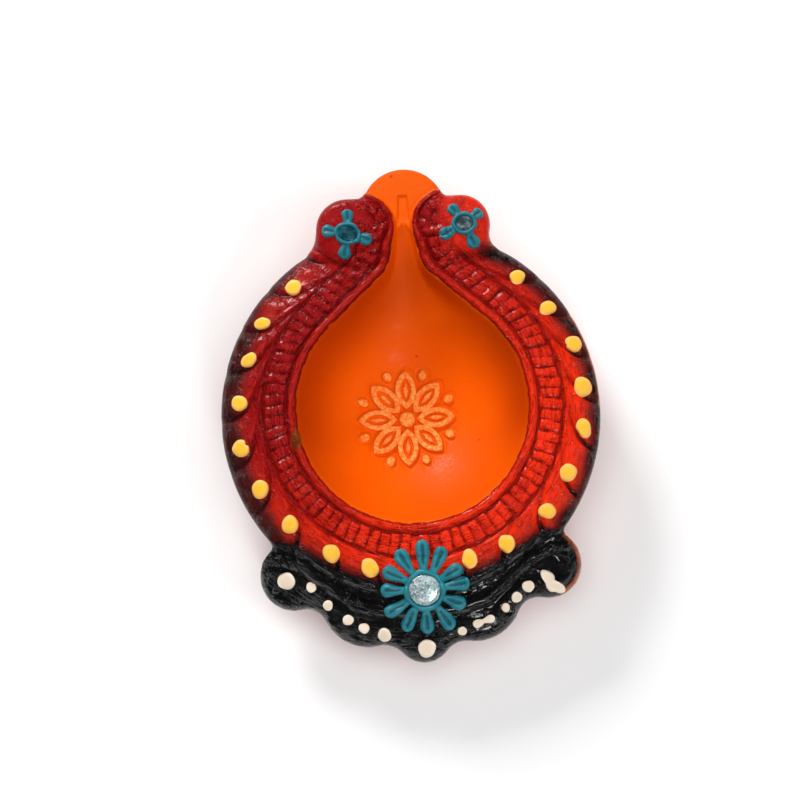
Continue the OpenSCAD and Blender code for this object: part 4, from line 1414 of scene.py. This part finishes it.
def join_pieces(name, pieces):
    """One object that holds several closed meshes."""
    points, faces, start = [], [], 0
    for piece in pieces:
        mesh = piece.data
        points += [tuple(v.co) for v in mesh.vertices]
        faces += [[start + k for k in p.vertices] for p in mesh.polygons]
        start += len(mesh.vertices)
        bpy.data.objects.remove(piece)
    mesh = bpy.data.meshes.new(name)
    mesh.from_pydata(points, [], faces)
    mesh.polygons.foreach_set("use_smooth", np.full(len(mesh.polygons), True))
    joined = bpy.data.objects.new(name, mesh)
    bpy.context.scene.collection.objects.link(joined)
    return joined


def hang(light, place):
    """Hangs a light at a place, turned to the lamp."""
    lamp = bpy.data.objects.new(light.name, light)
    lamp.location = place
    lamp.rotation_euler = (-Vector(place)).to_track_quat("-Z", "Y").to_euler()
    bpy.context.scene.collection.objects.link(lamp)
    return lamp


def area_light(name, place, size, power):
    """A rectangular light that shows in the shine of the paint."""
    light = bpy.data.lights.new(name, "AREA")
    light.shape = "RECTANGLE"
    light.size, light.size_y = size
    light.energy = power
    return hang(light, place)


def soft_sun(name, place, strength, spread):
    """Even light from one side that doesn't show in the shine. spread is in degrees."""
    light = bpy.data.lights.new(name, "SUN")
    light.energy = strength
    light.angle = math.radians(spread)
    lamp = hang(light, place)
    lamp.visible_glossy = False
    return lamp


class LAMP_OT_stage(Operator):
    """Lay the pale floor, hang the soft lights and set the camera"""
    bl_idname = "lamp.stage"
    bl_label = "Stage"

    def execute(self, context):
        scene = context.scene
        scene.view_settings.view_transform = "Standard"
        scene.view_settings.look = "None"
        stage = scene.lamp_stage
        half = 10.0
        mesh = bpy.data.meshes.new("floor")
        mesh.from_pydata([(-half, -half, 0), (half, -half, 0), (half, half, 0), (-half, half, 0)], [], [(0, 1, 2, 3)])
        floor = bpy.data.objects.new("floor", mesh)
        scene.collection.objects.link(floor)
        floor.data.materials.append(pale_floor())
        area_light("window", (-0.30, 0.66, 0.40), (0.27, 0.17), 5.6)
        area_light("front_strip", (0.16, -0.60, 0.56), (0.16, 0.09), 1.1)
        soft_sun("side", (0.62, -0.15, 0.50), 0.75, 28.0)
        soft_sun("overhead", (0.05, 0.05, 0.90), 1.62, 60.0)
        world = bpy.data.worlds.new("studio")
        world.use_nodes = True
        sky = world.node_tree.nodes["Background"]
        sky.inputs["Color"].default_value = (1.0, 1.0, 1.0, 1.0)
        sky.inputs["Strength"].default_value = 0.07
        scene.world = world
        data = bpy.data.cameras.new("camera")
        data.sensor_width = 36.0
        data.lens = 36.0 * stage.distance / stage.field
        data.dof.use_dof = False
        camera = bpy.data.objects.new("camera", data)
        aim = Vector(stage.aim)
        low = math.cos(stage.elevation)
        offset = Vector((low * math.sin(stage.azimuth), -low * math.cos(stage.azimuth), math.sin(stage.elevation)))
        camera.location = aim + stage.distance * offset
        look = (-offset).to_track_quat("-Z", "Y")
        up = look @ Vector((0, 1, 0))
        upright = math.atan2(up.x, up.y)
        turn = look.to_matrix().to_4x4()
        camera.rotation_euler = (turn @ Matrix.Rotation(upright - stage.roll, 4, "Z")).to_euler()
        scene.collection.objects.link(camera)
        scene.camera = camera
        return {"FINISHED"}


class LAMP_PT_panel(Panel):
    """Buttons that build the lamp piece by piece"""
    bl_idname = "LAMP_PT_panel"
    bl_label = "Clay Oil Lamp"
    bl_space_type = "VIEW_3D"
    bl_region_type = "UI"
    bl_category = "Lamp"

    def draw(self, context):
        layout = self.layout
        for group in (context.scene.lamp_paint, context.scene.lamp_stage):
            for key in group.__annotations__:
                layout.prop(group, key)
        for operator in OPERATORS:
            layout.operator(operator.bl_idname)


OPERATORS = (
    LAMP_OT_stage, LAMP_OT_body, LAMP_OT_yellow_dots, LAMP_OT_white_marks,
    LAMP_OT_front_flower, LAMP_OT_small_flowers, LAMP_OT_glue,
)
CLASSES = (LampPaint, LampStage, *OPERATORS, LAMP_PT_panel)


def register():
    for cls in CLASSES:
        bpy.utils.register_class(cls)
    bpy.types.Scene.lamp_paint = PointerProperty(type=LampPaint)
    bpy.types.Scene.lamp_stage = PointerProperty(type=LampStage)


def unregister():
    del bpy.types.Scene.lamp_stage
    del bpy.types.Scene.lamp_paint
    for cls in reversed(CLASSES):
        bpy.utils.unregister_class(cls)


def main():
    register()
    bpy.ops.lamp.stage()
    bpy.ops.lamp.body()
    bpy.ops.lamp.yellow_dots()
    bpy.ops.lamp.white_marks()
    bpy.ops.lamp.front_flower()
    bpy.ops.lamp.small_flowers()
    bpy.ops.lamp.glue()


if __name__ == "__main__":
    main()
